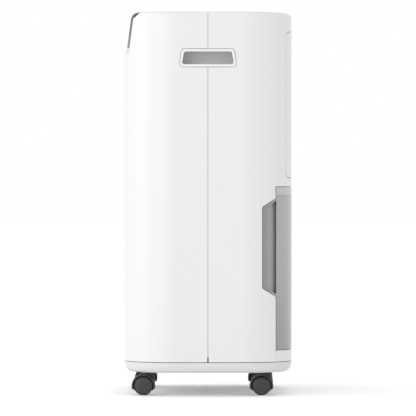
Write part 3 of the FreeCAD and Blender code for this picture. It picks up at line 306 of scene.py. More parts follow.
def shade(rgb, factor):
    """A colour made lighter or darker."""
    return tuple(min(1, c * factor) for c in rgb)


def moulded(name, rgb, roughness=0.38, grain=0.00002, spread=0.012, coat=0.0, **surface):
    """Injection-moulded plastic: a fine spark grain, faint flow marks and a slow change of tone."""
    s = Shader(name, **surface)
    fine = s.noise(2600, 3, 0.6)
    flow = s.noise(9, 3, 0.55, (1, 1, 0.35))
    s.set("Base Color", s.mix(flow, shade(rgb, 1 - spread), shade(rgb, 1 + spread)))
    s.set("Roughness", roughness + (fine - 0.5) * 0.07 + (flow - 0.5) * 0.05)
    if coat:
        s.set("Coat Weight", coat)
        s.set("Coat Roughness", 0.08)
    s.bump(fine, grain, 0.35)
    return s.material


def gloss_panel(name, rgb):
    """Hard-coated dark plastic with a faint deep fleck and fine wiping marks."""
    s = Shader(name)
    fleck = s.cells(1900)
    wipe = s.noise(420, 4, 0.6, (1, 0.06, 0.06))
    film = s.noise(14, 3)
    s.set("Base Color", s.mix(fleck.smooth(0.1, 0.5), shade(rgb, 1.22), shade(rgb, 0.92)))
    s.set("Roughness", 0.2 + (wipe - 0.5) * 0.09 + (film - 0.5) * 0.08)
    s.set("Coat Weight", 0.3)
    s.set("Coat Roughness", 0.05)
    s.bump(wipe, 0.000004, 0.4)
    return s.material


def smoked(name, rgb):
    """Smoke-grey clear plastic over a pale inside, with painted shade towards the foot; in the scoops a
    darker tone, partly painted shade, with painted light towards their deep end.
    """
    s = Shader(name)
    x, y, z = s.axes()
    cloud = s.noise(16, 3, 0.5)
    fine = s.noise(1900, 2)
    # Painted shade: the tank's colour darkens towards its foot.
    depth = z.smooth(0.05, 0.24)
    base = s.mix(depth, shade(rgb, 0.78), shade(rgb, 1.02))
    # Painted light and shade in the scoops, in front of the tank's face: darker towards the shallow end,
    # partly painted shade and partly a darker tone; lighter towards the deep end as painted light against
    # its shadow.
    face = y.smooth(0.1086, 0.1094)
    painted_scoop_light_and_shade = (x * x).smooth(0.0245, 0.0342)
    base = s.mix(face, s.mix(painted_scoop_light_and_shade, shade(rgb, 1.5), shade(rgb, 0.64)), base)
    s.set("Base Color", s.mix(cloud.smooth(0.2, 0.8) * 0.3, base, shade(rgb, 0.97)))
    s.set("Roughness", 0.34 + (fine - 0.5) * 0.06 + (cloud - 0.5) * 0.06)
    s.set("Coat Weight", 0.12)
    s.set("Coat Roughness", 0.1)
    s.bump(fine, 0.00001, 0.3)
    return s.material


def nylon(name, rgb, scuffed=True):
    """Black caster nylon with grain and pale scuffs."""
    s = Shader(name)
    grain = s.noise(1700, 4, 0.65)
    scuff = s.noise(260, 5, 0.7, (1, 0.25, 1))
    wear = scuff.smooth(0.62, 0.78) * (0.35 if scuffed else 0.12)
    s.set("Base Color", s.mix(wear, rgb, (0.16, 0.16, 0.165)))
    s.set("Roughness", 0.42 + (grain - 0.5) * 0.16 + wear * 0.25)
    s.bump(grain, 0.00003, 0.5)
    return s.material


def metal(name, rgb, roughness=0.3, brushed=(1, 1, 30), tone=0.12, depth=0.000006):
    """Bare metal with fine drawing marks along one axis and uneven sheen."""
    s = Shader(name, metallic=1.0)
    lines = s.noise(900, 4, 0.6, brushed)
    patch = s.noise(40, 3)
    s.set("Base Color", s.mix(patch, shade(rgb, 1 - tone), shade(rgb, 1 + tone * 0.5)))
    s.set("Roughness", roughness + (lines - 0.5) * 0.18 + (patch - 0.5) * 0.12)
    s.bump(lines, depth, 0.5)
    return s.material


def galvanised(name, rgb):
    """Zinc-coated sheet with its crystal pattern."""
    s = Shader(name, metallic=1.0)
    spangle = s.cells(120, "F1", "Color")
    tone = s.node("ShaderNodeSeparateColor", {}, {"Color": spangle}, "Red")
    s.set("Base Color", s.mix(tone, shade(rgb, 0.8), shade(rgb, 1.05)))
    s.set("Roughness", 0.34 + tone * 0.2)
    s.bump(tone, 0.000004, 0.4)
    return s.material


def painted(name, rgb, roughness=0.3):
    """Sprayed enamel with orange peel and a few thin spots."""
    s = Shader(name)
    peel = s.noise(520, 2, 0.4)
    patch = s.noise(30, 4)
    s.set("Base Color", s.mix(patch.smooth(0.3, 0.8), rgb, shade(rgb, 1.5)))
    s.set("Roughness", roughness + (peel - 0.5) * 0.1 + (patch - 0.5) * 0.12)
    s.set("Coat Weight", 0.3)
    s.bump(peel, 0.00003, 0.35)
    return s.material


def rubber(name, rgb):
    """Moulded rubber with bloom."""
    s = Shader(name)
    grain = s.noise(1200, 4, 0.7)
    bloom = s.noise(60, 4)
    s.set("Base Color", s.mix(bloom.smooth(0.45, 0.8) * 0.4, rgb, shade(rgb, 2.2)))
    s.set("Roughness", 0.7 + (grain - 0.5) * 0.2)
    s.bump(grain, 0.00005, 0.6)
    return s.material


def net(name, rgb, pitch=0.0012):
    """A woven filter net: threads with see-through holes between them."""
    s = Shader(name)
    x, _, z = s.axes()
    across = (x / pitch).fraction().distance_from(0.5)
    along = (z / pitch).fraction().distance_from(0.5)
    thread = s.node("ShaderNodeMath", {"operation": "MAXIMUM"}, {0: across, 1: along})
    dust = s.noise(50, 4)
    s.set("Base Color", s.mix(dust.smooth(0.4, 0.8) * 0.4, rgb, shade(rgb, 1.8)))
    s.set("Roughness", 0.65 + (dust - 0.5) * 0.2)
    s.set("Alpha", thread.smooth(0.26, 0.34))
    s.bump(thread, 0.0001, 0.5)
    return s.material


def foam(name, rgb):
    """Closed-cell foam."""
    s = Shader(name)
    cell = s.cells(700)
    tone = s.noise(70, 3)
    s.set("Base Color", s.mix(tone, shade(rgb, 0.9), rgb))
    s.set("Roughness", 0.75 + (tone - 0.5) * 0.15)
    s.bump(cell, 0.0002, 0.6)
    return s.material


def circuit(name):
    """Solder mask with copper runs under it."""
    s = Shader(name)
    x, y, z = s.axes()
    runs = (x * 260).fraction().distance_from(0.5).above(0.3)
    rows = (z * 190 + y * 190).fraction().distance_from(0.5).above(0.32)
    tracks = s.node("ShaderNodeMath", {"operation": "MULTIPLY"}, {0: runs, 1: rows})
    cloud = s.noise(300, 2)
    s.set("Base Color", s.mix(tracks, (0.012, 0.09, 0.04), (0.02, 0.2, 0.075)))
    s.set("Roughness", 0.32 + (cloud - 0.5) * 0.1)
    s.bump(tracks, 0.00004, 0.5)
    return s.material


materials = {}


def finishes():
    """Every finish of the object, made once."""
    if materials:
        return materials
    hue = settings("colours")
    shell = tuple(hue.shell)
    panel = tuple(hue.panel)
    materials.update(
        shell=moulded("shell_white", shell),
        base=moulded("base_white", tuple(hue.base)),
        # Handle cups: a lighter copy of the shell's white, painted light that lifts the shade inside the
        # recess.
        grip=moulded("grip_white", shade(shell, 1.03), 0.34),
        grille=moulded("grille_white", shade(shell, 0.99), 0.4),
        liner=moulded("liner_grey", (0.45, 0.45, 0.45), 0.5),
        panel=gloss_panel("panel_gloss", panel),
        window=gloss_panel("window_gloss", (0.008, 0.008, 0.01)),
        key=moulded("key_satin", shade(panel, 1.5), 0.32, coat=0.2),
        filter=moulded("filter_plastic", (0.05, 0.052, 0.055), 0.5),
        net=net("filter_net", (0.09, 0.092, 0.095)),
        tank=smoked("tank_smoke", tuple(hue.tank)),
        band=smoked("band_smoke", tuple(hue.tank_band)),
        foam=foam("float_foam", (0.75, 0.72, 0.66)),
        hood=nylon("caster_nylon", tuple(hue.caster), False),
        wheel=nylon("wheel_nylon", shade(tuple(hue.caster), 1.2)),
        steel=metal("zinc_steel", (0.62, 0.62, 0.63), 0.28),
        copper=metal("copper", (0.83, 0.42, 0.27), 0.24, (30, 1, 1), 0.2),
        fin=metal("fin_aluminium", (0.8, 0.81, 0.82), 0.36, (1, 30, 1)),
        sheet=galvanised("galvanised_sheet", (0.62, 0.63, 0.64)),
        scroll=moulded("scroll_plastic", (0.03, 0.03, 0.032), 0.45),
        blower=moulded("blower_plastic", (0.045, 0.045, 0.048), 0.42),
        motor=painted("motor_enamel", (0.05, 0.05, 0.055), 0.35),
        compressor=painted("compressor_enamel", (0.012, 0.012, 0.013), 0.25),
        rubber=rubber("mount_rubber", (0.02, 0.02, 0.02)),
        board=circuit("circuit_board"),
        case=moulded("case_grey", (0.2, 0.205, 0.21), 0.45),
        can=metal("capacitor_can", (0.75, 0.75, 0.76), 0.3),
        port=moulded("port_black", (0.025, 0.025, 0.027), 0.45),
        plug=rubber("plug_rubber", (0.62, 0.62, 0.61)),
    )
    return materials


# ---------------------------------------------------------------- mesh building


def new_object(name, bm):
    """A linked object around a finished bmesh."""
    mesh = bpy.data.meshes.new(name)
    bm.to_mesh(mesh)
    bm.free()
    obj = bpy.data.objects.new(name, mesh)
    bpy.context.scene.collection.objects.link(obj)
    return obj


def ring(bm, points):
    return [bm.verts.new(p) for p in points]


def bridge(bm, first, second, closed=True):
    """Quads between two rows of vertices."""
    count = len(first)
    for i in range(count if closed else count - 1):
        j = (i + 1) % count
        bm.faces.new((first[i], first[j], second[j], second[i]))


def loft(name, rows):
    """A closed solid through rows of points that run round it, capped at both ends."""
    bm = bmesh.new()
    rings = [ring(bm, row) for row in rows]
    for first, second in zip(rings, rings[1:]):
        bridge(bm, first, second)
    bm.faces.new(list(reversed(rings[0])))
    bm.faces.new(rings[-1])
    bmesh.ops.recalc_face_normals(bm, faces=bm.faces)
    return new_object(name, bm)


def torus_loft(name, rows):
    """A closed solid through rows of points, the last joined to the first."""
    bm = bmesh.new()
    rings = [ring(bm, row) for row in rows]
    for first, second in zip(rings, rings[1:] + rings[:1]):
        bridge(bm, first, second)
    bmesh.ops.recalc_face_normals(bm, faces=bm.faces)
    return new_object(name, bm)


def lathe(name, profile, axis, centre, steps=64):
    """A closed solid of revolution from (radius, distance along the axis) pairs.

    A profile that starts and ends on the axis closes there; any other closes on itself.
    """
    turn = {"X": lambda r, h, c, s: (h, r * c, r * s), "Y": lambda r, h, c, s: (r * s, h, r * c),
            "Z": lambda r, h, c, s: (r * c, r * s, h)}[axis]
    bm = bmesh.new()
    centre = Vector(centre)
    rings = []
    for radius, height in profile:
        if radius < 1e-7:
            rings.append([bm.verts.new(Vector(turn(0, height, 1, 0)) + centre)])
        else:
            rings.append(ring(bm, [
                Vector(turn(radius, height, math.cos(a), math.sin(a))) + centre
                for a in (2 * math.pi * i / steps for i in range(steps))]))
    pairs = list(zip(rings, rings[1:]))
    if len(rings[0]) > 1:
        pairs.append((rings[-1], rings[0]))
    for first, second in pairs:
        if len(first) > 1 and len(second) > 1:
            bridge(bm, first, second)
        else:
            tip, row = (first[0], second) if len(first) == 1 else (second[0], first)
            for i in range(steps):
                bm.faces.new((tip, row[i], row[(i + 1) % steps]))
    bmesh.ops.recalc_face_normals(bm, faces=bm.faces)
    return new_object(name, bm)


def block(name, low, high):
    """A box between two corners, used as a cutter or a start for other shapes."""
    bm = bmesh.new()
    bmesh.ops.create_cube(bm, size=1)
    for v in bm.verts:
        v.co = Vector([a + (b - a) * (c + 0.5) for a, b, c in zip(low, high, v.co)])
    return new_object(name, bm)


def prism(name, axis, outline_points, low, high):
    """A solid whose outline is given across an axis: (y, z), (x, z) or (x, y) pairs."""
    spot = {"X": lambda p, d: (d, p[0], p[1]), "Y": lambda p, d: (p[0], d, p[1]),
            "Z": lambda p, d: (p[0], p[1], d)}[axis]
    return loft(name, [[spot(p, d) for p in outline_points] for d in (low, high)])


def rounded(points, radius, steps=6):
    """A polygon's points with every corner replaced by an arc."""
    result = []
    count = len(points)
    for i, corner in enumerate(points):
        corner = Vector(corner)
        into = (Vector(points[i - 1]) - corner).normalized()
        out = (Vector(points[(i + 1) % count]) - corner).normalized()
        half = into.angle(out) / 2
        middle = corner + (into + out).normalized() * (radius / math.sin(half))
        start = corner + into * (radius / math.tan(half)) - middle
        end = corner + out * (radius / math.tan(half)) - middle
        sweep = start.angle_signed(end)
        for k in range(steps + 1):
            result.append(tuple(middle + Matrix.Rotation(-sweep * k / steps, 2) @ start))
    return result


def apply_modifiers(obj):
    """Freeze an object's modifiers into its mesh."""
    graph = bpy.context.evaluated_depsgraph_get()
    mesh = bpy.data.meshes.new_from_object(obj.evaluated_get(graph), depsgraph=graph)
    old = obj.data
    obj.modifiers.clear()
    obj.data = mesh
    mesh.name = obj.name
    bpy.data.meshes.remove(old)
    return obj


def carve(obj, *tools, operation="DIFFERENCE"):
    """Cut, join or intersect an object with tools, which are used up."""
    for tool in tools:
        modifier = obj.modifiers.new("Boolean", "BOOLEAN")
        modifier.operation = operation
        modifier.solver = "EXACT"
        modifier.object = tool
    apply_modifiers(obj)
    for tool in set(tools):
        bpy.data.objects.remove(tool)
    return obj


def clean(obj, merge=0.00002):
    """Merge doubles and dissolve needless edges."""
    bm = bmesh.new()
    bm.from_mesh(obj.data)
    bmesh.ops.remove_doubles(bm, verts=bm.verts, dist=merge)
    bmesh.ops.dissolve_degenerate(bm, edges=bm.edges, dist=merge)
    bm.to_mesh(obj.data)
    bm.free()
    return obj


def soften(obj, width, segments=2, angle=math.radians(32)):
    """Round an object's sharp edges; faces with many corners become triangles first."""
    bm = bmesh.new()
    bm.from_mesh(obj.data)
    bmesh.ops.triangulate(bm, faces=[f for f in bm.faces if len(f.verts) > 4])
    bm.to_mesh(obj.data)
    bm.free()
    modifier = obj.modifiers.new("Bevel", "BEVEL")
    modifier.width = width
    modifier.segments = segments
    modifier.limit_method = "ANGLE"
    modifier.angle_limit = angle
    modifier.use_clamp_overlap = False
    modifier.miter_outer = "MITER_ARC"
    return apply_modifiers(obj)


def joined(name, *objects):
    """One object from several."""
    bm = bmesh.new()
    for obj in objects:
        bm.from_mesh(obj.data)
    for obj in objects:
        bpy.data.objects.remove(obj)
    return new_object(name, bm)


def smooth(obj, angle=math.radians(35)):
    """Smooth shading with sharp edges where faces meet at more than an angle."""
    bm = bmesh.new()
    bm.from_mesh(obj.data)
    for face in bm.faces:
        face.smooth = True
    for edge in bm.edges:
        edge.smooth = len(edge.link_faces) == 2 and edge.calc_face_angle(0) < angle
    bm.to_mesh(obj.data)
    bm.free()
    weighted = obj.modifiers.new("Weighted Normals", "WEIGHTED_NORMAL")
    weighted.keep_sharp = True
    weighted.weight = 80
    return obj


def finish(obj, body, material, replaces=(), angle=math.radians(35)):
    """Shade a piece, give it its finish and body, and hide the CAD nodes it stands for."""
    smooth(obj, angle)
    obj.data.materials.clear()
    obj.data.materials.append(finishes()[material])
    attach(obj, body)
    if replaces:
        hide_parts(*replaces)
    return obj


def paint(node, material):
    """Give a carried-over node its finish."""
    obj = frame["nodes"][node]
    obj.data.materials.clear()
    obj.data.materials.append(finishes()[material])
    if not any(m.type == "WEIGHTED_NORMAL" for m in obj.modifiers):
        weld = obj.modifiers.new("Weld", "WELD")
        weld.merge_threshold = 0.00001


# ---------------------------------------------------------------- geometry nodes


class Tree:
    """A Geometry Nodes tree under construction."""

    def __init__(self, name, **inputs):
        self.tree = bpy.data.node_groups.new(name, "GeometryNodeTree")
        self.tree.interface.new_socket("Geometry", in_out="OUTPUT", socket_type="NodeSocketGeometry")
        self.names = {}
        for label, (kind, default) in inputs.items():
            socket = self.tree.interface.new_socket(label.replace("_", " ").title(), in_out="INPUT",
                                                    socket_type=f"NodeSocket{kind}")
            if default is not None:
                socket.default_value = default
            self.names[label] = socket.identifier
        self.inputs = self.tree.nodes.new("NodeGroupInput")
        self.output = self.tree.nodes.new("NodeGroupOutput")

    def value(self, label):
        return next(s for s in self.inputs.outputs if s.identifier == self.names[label])

    def node(self, kind, options, inputs, output=0):
        made = self.tree.nodes.new(kind)
        for name, option in options.items():
            setattr(made, name, option)
        for name, value in inputs.items():
            if isinstance(value, bpy.types.NodeSocket):
                self.tree.links.new(value, made.inputs[name])
            else:
                made.inputs[name].default_value = value
        return made.outputs[output]

    def maths(self, operation, first, second):
        return self.node("ShaderNodeMath", {"operation": operation}, {0: first, 1: second})

    def finish(self, geometry):
        """Realize the instances, give them the tree's material and send them out."""
        real = self.node("GeometryNodeRealizeInstances", {}, {0: geometry})
        done = self.node("GeometryNodeSetMaterial", {}, {0: real, "Material": self.value("material")})
        self.tree.links.new(done, self.output.inputs[0])
        return self

    def grow(self, name, material, **inputs):
        """A plain mesh object grown from the tree with its inputs set."""
        obj = new_object(name, bmesh.new())
        modifier = obj.modifiers.new("Grow", "NODES")
        modifier.node_group = self.tree
        for label, value in inputs.items():
            modifier[self.names[label]] = value
        modifier[self.names["material"]] = finishes()[material]
        obj.update_tag()
        return apply_modifiers(obj)


def row_tree():
    """Copies of one object in a row, each a fixed step from the last."""
    tree = Tree("Row of Pieces", piece=("Object", None), count=("Int", 8), start=("Vector", (0, 0, 0)),
                step=("Vector", (0, 0, 0.01)), material=("Material", None))
    line = tree.node("GeometryNodeMeshLine", {"mode": "OFFSET"},
                     {"Count": tree.value("count"), "Start Location": tree.value("start"),
                      "Offset": tree.value("step")})
    part = tree.node("GeometryNodeObjectInfo", {"transform_space": "ORIGINAL"},
                     {"Object": tree.value("piece")}, "Geometry")
    return tree.finish(tree.node("GeometryNodeInstanceOnPoints", {}, {"Points": line, "Instance": part}))


def ring_tree():
    """Copies of one object turned round an axis through a centre."""
    tree = Tree("Ring of Pieces", piece=("Object", None), count=("Int", 8), centre=("Vector", (0, 0, 0)),
                axis=("Vector", (0, 1, 0)), material=("Material", None))
    points = tree.node("GeometryNodeMeshLine", {"mode": "OFFSET"},
                       {"Count": tree.value("count"), "Start Location": tree.value("centre"),
                        "Offset": (0, 0, 0)})
    part = tree.node("GeometryNodeObjectInfo", {"transform_space": "ORIGINAL"},
                     {"Object": tree.value("piece")}, "Geometry")
    index = tree.node("GeometryNodeInputIndex", {}, {})
    share = tree.maths("DIVIDE", index, tree.value("count"))
    angle = tree.maths("MULTIPLY", share, 2 * math.pi)
    turn = tree.node("FunctionNodeAxisAngleToRotation", {}, {"Axis": tree.value("axis"), "Angle": angle})
    placed = tree.node("GeometryNodeInstanceOnPoints", {},
                       {"Points": points, "Instance": part, "Rotation": turn})
    return tree.finish(placed)


def grow_from(tree, name, piece, material, **inputs):
    """Grow copies of a piece, which is used up."""
    grown = tree.grow(name, material, piece=piece, **inputs)
    bpy.data.objects.remove(piece)
    return grown


# ---------------------------------------------------------------- the cabinet's form


def corner_centre(cabinet):
    """The middle of the right rear corner's arc in plan."""
    x = cabinet.half_width - cabinet.corner
    bow_y = cabinet.bow - cabinet.half_depth
    return x, math.sqrt((cabinet.bow - cabinet.corner) ** 2 - x * x) - bow_y


def plan(cabinet, inset, corner_steps=36, bow_steps=32, side_steps=6):
    """The cabinet's outline in plan, drawn in by an inset, anticlockwise from the right side."""
    cx, cy = corner_centre(cabinet)
    bow_y = cabinet.bow - cabinet.half_depth
    half_turn = math.acos(cx / (cabinet.bow - cabinet.corner))
    corner = cabinet.corner - inset
    bow = cabinet.bow - inset
    side = cabinet.half_width - inset
    quarter = [(cx + corner * math.cos(a), cy + corner * math.sin(a))
               for a in (half_turn * i / corner_steps for i in range(corner_steps + 1))]
    back = [(bow * math.cos(a), bow * math.sin(a) - bow_y)
            for a in (half_turn + (math.pi - 2 * half_turn) * i / bow_steps
                      for i in range(1, bow_steps))]
    edge = [(side, -cy + 2 * cy * i / side_steps) for i in range(1, side_steps)]
    half = edge + quarter + back + [(-x, y) for x, y in reversed(quarter)]
    return half + [(-x, -y) for x, y in half]


def fillet_levels(height, radius, up, steps=6):
    """(height, inset) pairs round an edge fillet that ends at a height."""
    sign = 1 if up else -1
    levels = []
    for i in range(steps + 1):
        a = math.pi / 2 * i / steps
        levels.append((height - sign * radius * (1 - math.sin(a)), radius * (1 - math.cos(a))))
    return levels if up else list(reversed(levels))


def form(name, cabinet, inset, low, high, low_round=0.0, high_round=0.0):
    """A solid of the cabinet's outline, drawn in by an inset, between two heights."""
    levels = fillet_levels(low, low_round, False) if low_round else [(low, 0)]
    levels += fillet_levels(high, high_round, True) if high_round else [(high, 0)]
    return loft(name, [[(x, y, z) for x, y in plan(cabinet, inset + extra)] for z, extra in levels])


def outer_form(name="Outer"):
    c = settings("cabinet")
    return form(name, c, 0, c.underside, c.top, c.low_round, c.top_round)


def skin(name="Skin"):
    """The whole cabinet as one hollow moulding."""
    c = settings("cabinet")
    inner = form("Inner", c, c.wall, c.underside + c.wall, c.top - c.wall,
                 c.low_round - c.wall, c.top_round - c.wall)
    return carve(outer_form(name), inner)


FAR = 0.4


def slab(name, x=(-FAR, FAR), y=(-FAR, FAR), z=(-FAR, 2 * FAR)):
    """A block with far limits wherever none is given."""
    return block(name, *zip(x, y, z))


def trapezoid(grip, top, foot, height, grow):
    """The handle's outline as (y, z) pairs, grown all round."""
    rise = height / 2 + grow
    half_foot = foot / 2 + grow
    half_top = top / 2 + grow
    return [(-half_foot, grip.height - rise), (half_foot, grip.height - rise),
            (half_top, grip.height + rise), (-half_top, grip.height + rise)]


RIM_CORNER = 6 * MM


def rim_outline(grip, grow):
    return rounded(trapezoid(grip, grip.rim_top, grip.rim_foot, grip.rim_height, grow),
                   RIM_CORNER + grow)


def handle_hole():
    grip = settings("grip")
    return prism("Handle Hole", "X", rim_outline(grip, grip.gap), -FAR, FAR)


def outlet_hole():
    gap = 0.4 * MM
    low, high = outlet_low, outlet_high
    return slab("Outlet Hole", (low.x - gap, high.x + gap), (low.y - gap, high.y + gap),
                (high.z - 12 * MM, high.z + 5 * MM))


def inlet_outline(cabinet, rear, grow):
    """The inlet panel's outline as (x, z) pairs."""
    cx, cy = corner_centre(cabinet)
    half = cx + math.sqrt(cabinet.corner ** 2 - (rear.inlet_edge - cy) ** 2) + grow
    low = inlet_low.z - grow
    high = inlet_high.z + grow
    return rounded([(-half, low), (half, low), (half, high), (-half, high)], 12 * MM)


def scoop_outline(rear, grow, corner=5 * MM):
    """The finger scoop's outline as (y, z) pairs, run on behind the tank's edge."""
    run_on = 12 * MM
    front = rear.scoop_edge - grow
    back = rear.tank_edge + run_on
    spread = rear.scoop_spread * (run_on / (rear.tank_edge - rear.scoop_edge) + 1)
    low = rear.scoop_low - grow
    high = rear.scoop_high + grow
    return rounded([(front, low), (back, low - spread), (back, high + spread), (front, high)], corner)


# ---------------------------------------------------------------- control panel


def leaning(panel, cabinet, z, depth):
    """The panel surface's y in the middle plane at a height, or that of a deeper surface."""
    return -(cabinet.half_depth - panel.back) + (z - panel.foot) * math.tan(panel.lean) + depth


def panel_profile(first, last, end):
    """The panel's section between two depths, as (y, z) pairs with the turn as arcs."""
    c = settings("cabinet")
    p = settings("panel")

    def side(depth):
        top = c.top - depth
        radius = p.turn - depth
        corner = Vector((leaning(p, c, top, depth), top))
        down = Vector((leaning(p, c, p.foot, depth), p.foot))
        along = Vector((-end, top))
        into = (down - corner).normalized()
        out = (along - corner).normalized()
        half = into.angle(out) / 2
        middle = corner + (into + out).normalized() * (radius / math.sin(half))
        start = corner + into * (radius / math.tan(half)) - middle
        sweep = start.angle_signed(corner + out * (radius / math.tan(half)) - middle)
        turn = [middle + Matrix.Rotation(-sweep * i / 10, 2) @ start for i in range(11)]
        rise = [down + (turn[0] - down) * i / 6 for i in range(6)]
        return rise + turn + [turn[-1] + (along - turn[-1]) * i / 4 for i in range(1, 5)]

    return side(first) + list(reversed(side(last)))


def bowed(name, profile, steps=48, spread=math.radians(8.4)):
    """A solid whose (y, z) section is turned about the panel's far upright axis."""
    c = settings("cabinet")
    p = settings("panel")
    axis_y = p.bow - (c.half_depth - p.back)
    rows = []
    for i in range(steps + 1):
        a = spread * (i / steps - 0.5)
        rows.append([(-(y - axis_y) * math.sin(a), axis_y + (y - axis_y) * math.cos(a), z)
                     for y, z in profile])
    return loft(name, rows)


def panel_space():
    """Everything that the front shell leaves free for the panel."""
    c = settings("cabinet")
    p = settings("panel")
    seat = p.thickness + 0.2 * MM
    under = c.top - seat
    end = -p.reach + 0.4 * MM
    run = 2 * p.chamfer
    trim = 7 * MM
    profile = [(-c.half_depth - run * p.back / p.chamfer, p.foot - p.chamfer - run),
               (leaning(p, c, p.foot, 0), p.foot), (leaning(p, c, p.foot, seat), p.foot),
               (leaning(p, c, under - trim, seat), under - trim),
               (leaning(p, c, under, seat) + trim, under), (end, under), (end, 0.66), (-0.2, 0.66),
               (-0.2, p.foot - p.chamfer - run)]
    half = p.width / 2 + 0.3 * MM
    return carve(bowed("Panel Space", profile), slab("Limit", (-half, half), (-FAR, 0)),
                 operation="INTERSECT")


# ---------------------------------------------------------------- operators


class DEHUMIDIFIER_OT_shells(bpy.types.Operator):
    """Front and rear shells with the tongue that joins them"""

    bl_idname = "dehumidifier.shells"
    bl_label = "Shells"
    bl_options = {"REGISTER", "UNDO"}

    def execute(self, context):
        c = settings("cabinet")
        p = settings("panel")
        rear = settings("rear")
        low = c.seam + c.seam_gap / 2
        half_split = c.split_gap / 2
        front = carve(skin("front_shell_moulding"), slab("Front Half", y=(-FAR, -half_split), z=(low, 1)),
                      operation="INTERSECT")
        sill = slab("Sill", (-146 * MM, 146 * MM), (-c.half_depth + 1 * MM, -c.half_depth + 18 * MM),
                    (p.foot - 6 * MM, p.foot - 0.2 * MM))
        front = carve(front, sill, operation="UNION")
        front = carve(front, panel_space(), handle_hole(), outlet_hole())
        finish(soften(clean(front), c.edge), "cabinet", "shell", ("front_shell",))

        back = carve(skin("rear_shell_moulding"), slab("Rear Half", y=(half_split, FAR), z=(low, 1)),
                     operation="INTERSECT")
        gap = 0.7 * MM
        panel_hole = prism("Inlet Hole", "Y", inlet_outline(c, rear, 0.8 * MM), 0.1, FAR)
        tank_hole = slab("Tank Hole", y=(rear.tank_edge - gap, FAR),
                         z=(tank_low.z - gap, lid_high.z + gap))
        notch = carve(prism("Notch", "X", scoop_outline(rear, gap), -FAR, FAR),
                      slab("Notch Limit", y=(0, rear.tank_edge + 1 * MM)), operation="INTERSECT")
        gland_low, gland_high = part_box("cord_gland")
        gland_middle = (gland_low + gland_high) / 2
        gland_hole = lathe("Gland Hole", [(0, 0), (7 * MM, 0), (7 * MM, 0.06), (0, 0.06)], "Y",
                           (gland_middle.x, 0.1, gland_middle.z), 32)
        port_low, port_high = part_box("drain_port")
        port_middle = (port_low + port_high) / 2
        port_hole = lathe("Port Hole", [(0, 0), (11 * MM, 0), (11 * MM, 0.06), (0, 0.06)], "X",
                          (-0.22, port_middle.y, port_middle.z), 48)
        back = carve(back, panel_hole, tank_hole, notch, handle_hole(), outlet_hole(), gland_hole,
                     port_hole)
        finish(soften(clean(back), c.edge), "cabinet", "shell", ("rear_shell",))

        lip = c.wall + 2.2 * MM
        tongue = form("split_tongue", c, c.wall, c.seam + 9 * MM, c.top - c.wall)
        tongue = carve(tongue, form("Tongue Inside", c, lip, 0, c.top - lip))
        grip = settings("grip")
        flange = prism("Flange Hole", "X", rim_outline(grip, 3.6 * MM), -FAR, FAR)
        tongue = carve(tongue, slab("Tongue Limit", y=(-8 * MM, 8 * MM)), operation="INTERSECT")
        tongue = carve(tongue, flange)
        sunk = 1 * MM
        bead = form("Bead", c, sunk, c.seam + 9 * MM, c.top - sunk, high_round=c.top_round - sunk)
        bead = carve(bead, form("Bead Inside", c, c.wall + sunk, 0, c.top - c.wall - sunk), handle_hole())
        bead = carve(bead, slab("Bead Limit", y=(-0.8 * MM, 0.8 * MM)), operation="INTERSECT")
        tongue = carve(tongue, bead, operation="UNION")
        finish(carve(tongue, outlet_hole()), "cabinet", "shell", ("shell_tongue",))
        return {"FINISHED"}


class DEHUMIDIFIER_OT_base(bpy.types.Operator):
    """Base moulding with its caster sockets and screw wells"""

    bl_idname = "dehumidifier.base"
    bl_label = "Base"
    bl_options = {"REGISTER", "UNDO"}

    def execute(self, context):
        c = settings("cabinet")
        base = carve(skin("base_moulding"), slab("Base Limit", z=(0, c.seam - c.seam_gap / 2)),
                     operation="INTERSECT")
        wells = []
        for x, y in screw_places():
            wells.append(lathe("Well", [(0, 0), (4.8 * MM, 0), (4.8 * MM, 42.5 * MM), (0, 42.5 * MM)],
                               "Z", (x, y, 0), 32))
        for name, _, _ in CORNERS:
            x, y = swivel_place(name)
            wells.append(lathe("Socket", [(0, 0), (4.05 * MM, 0), (4.05 * MM, 58 * MM), (0, 58 * MM)],
                               "Z", (x, y, 0), 32))
        finish(soften(clean(carve(base, *wells)), c.edge), "cabinet", "base", ("base_tray",))
        return {"FINISHED"}


def screw_places():
    """The base screws' places in plan."""
    _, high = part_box("base_screws")
    x = high.x - 4.4 * MM
    y = high.y - 4.4 * MM
    return [(sx * x, sy * y) for sx in (1, -1) for sy in (1, -1)]


def swivel_place(name):
    """Where a caster turns, in plan."""
    joint = next(j for j in frame["joints"] if j["name"] == f"caster_{name}_swivel")
    return joint["pos_m"][0], joint["pos_m"][1]


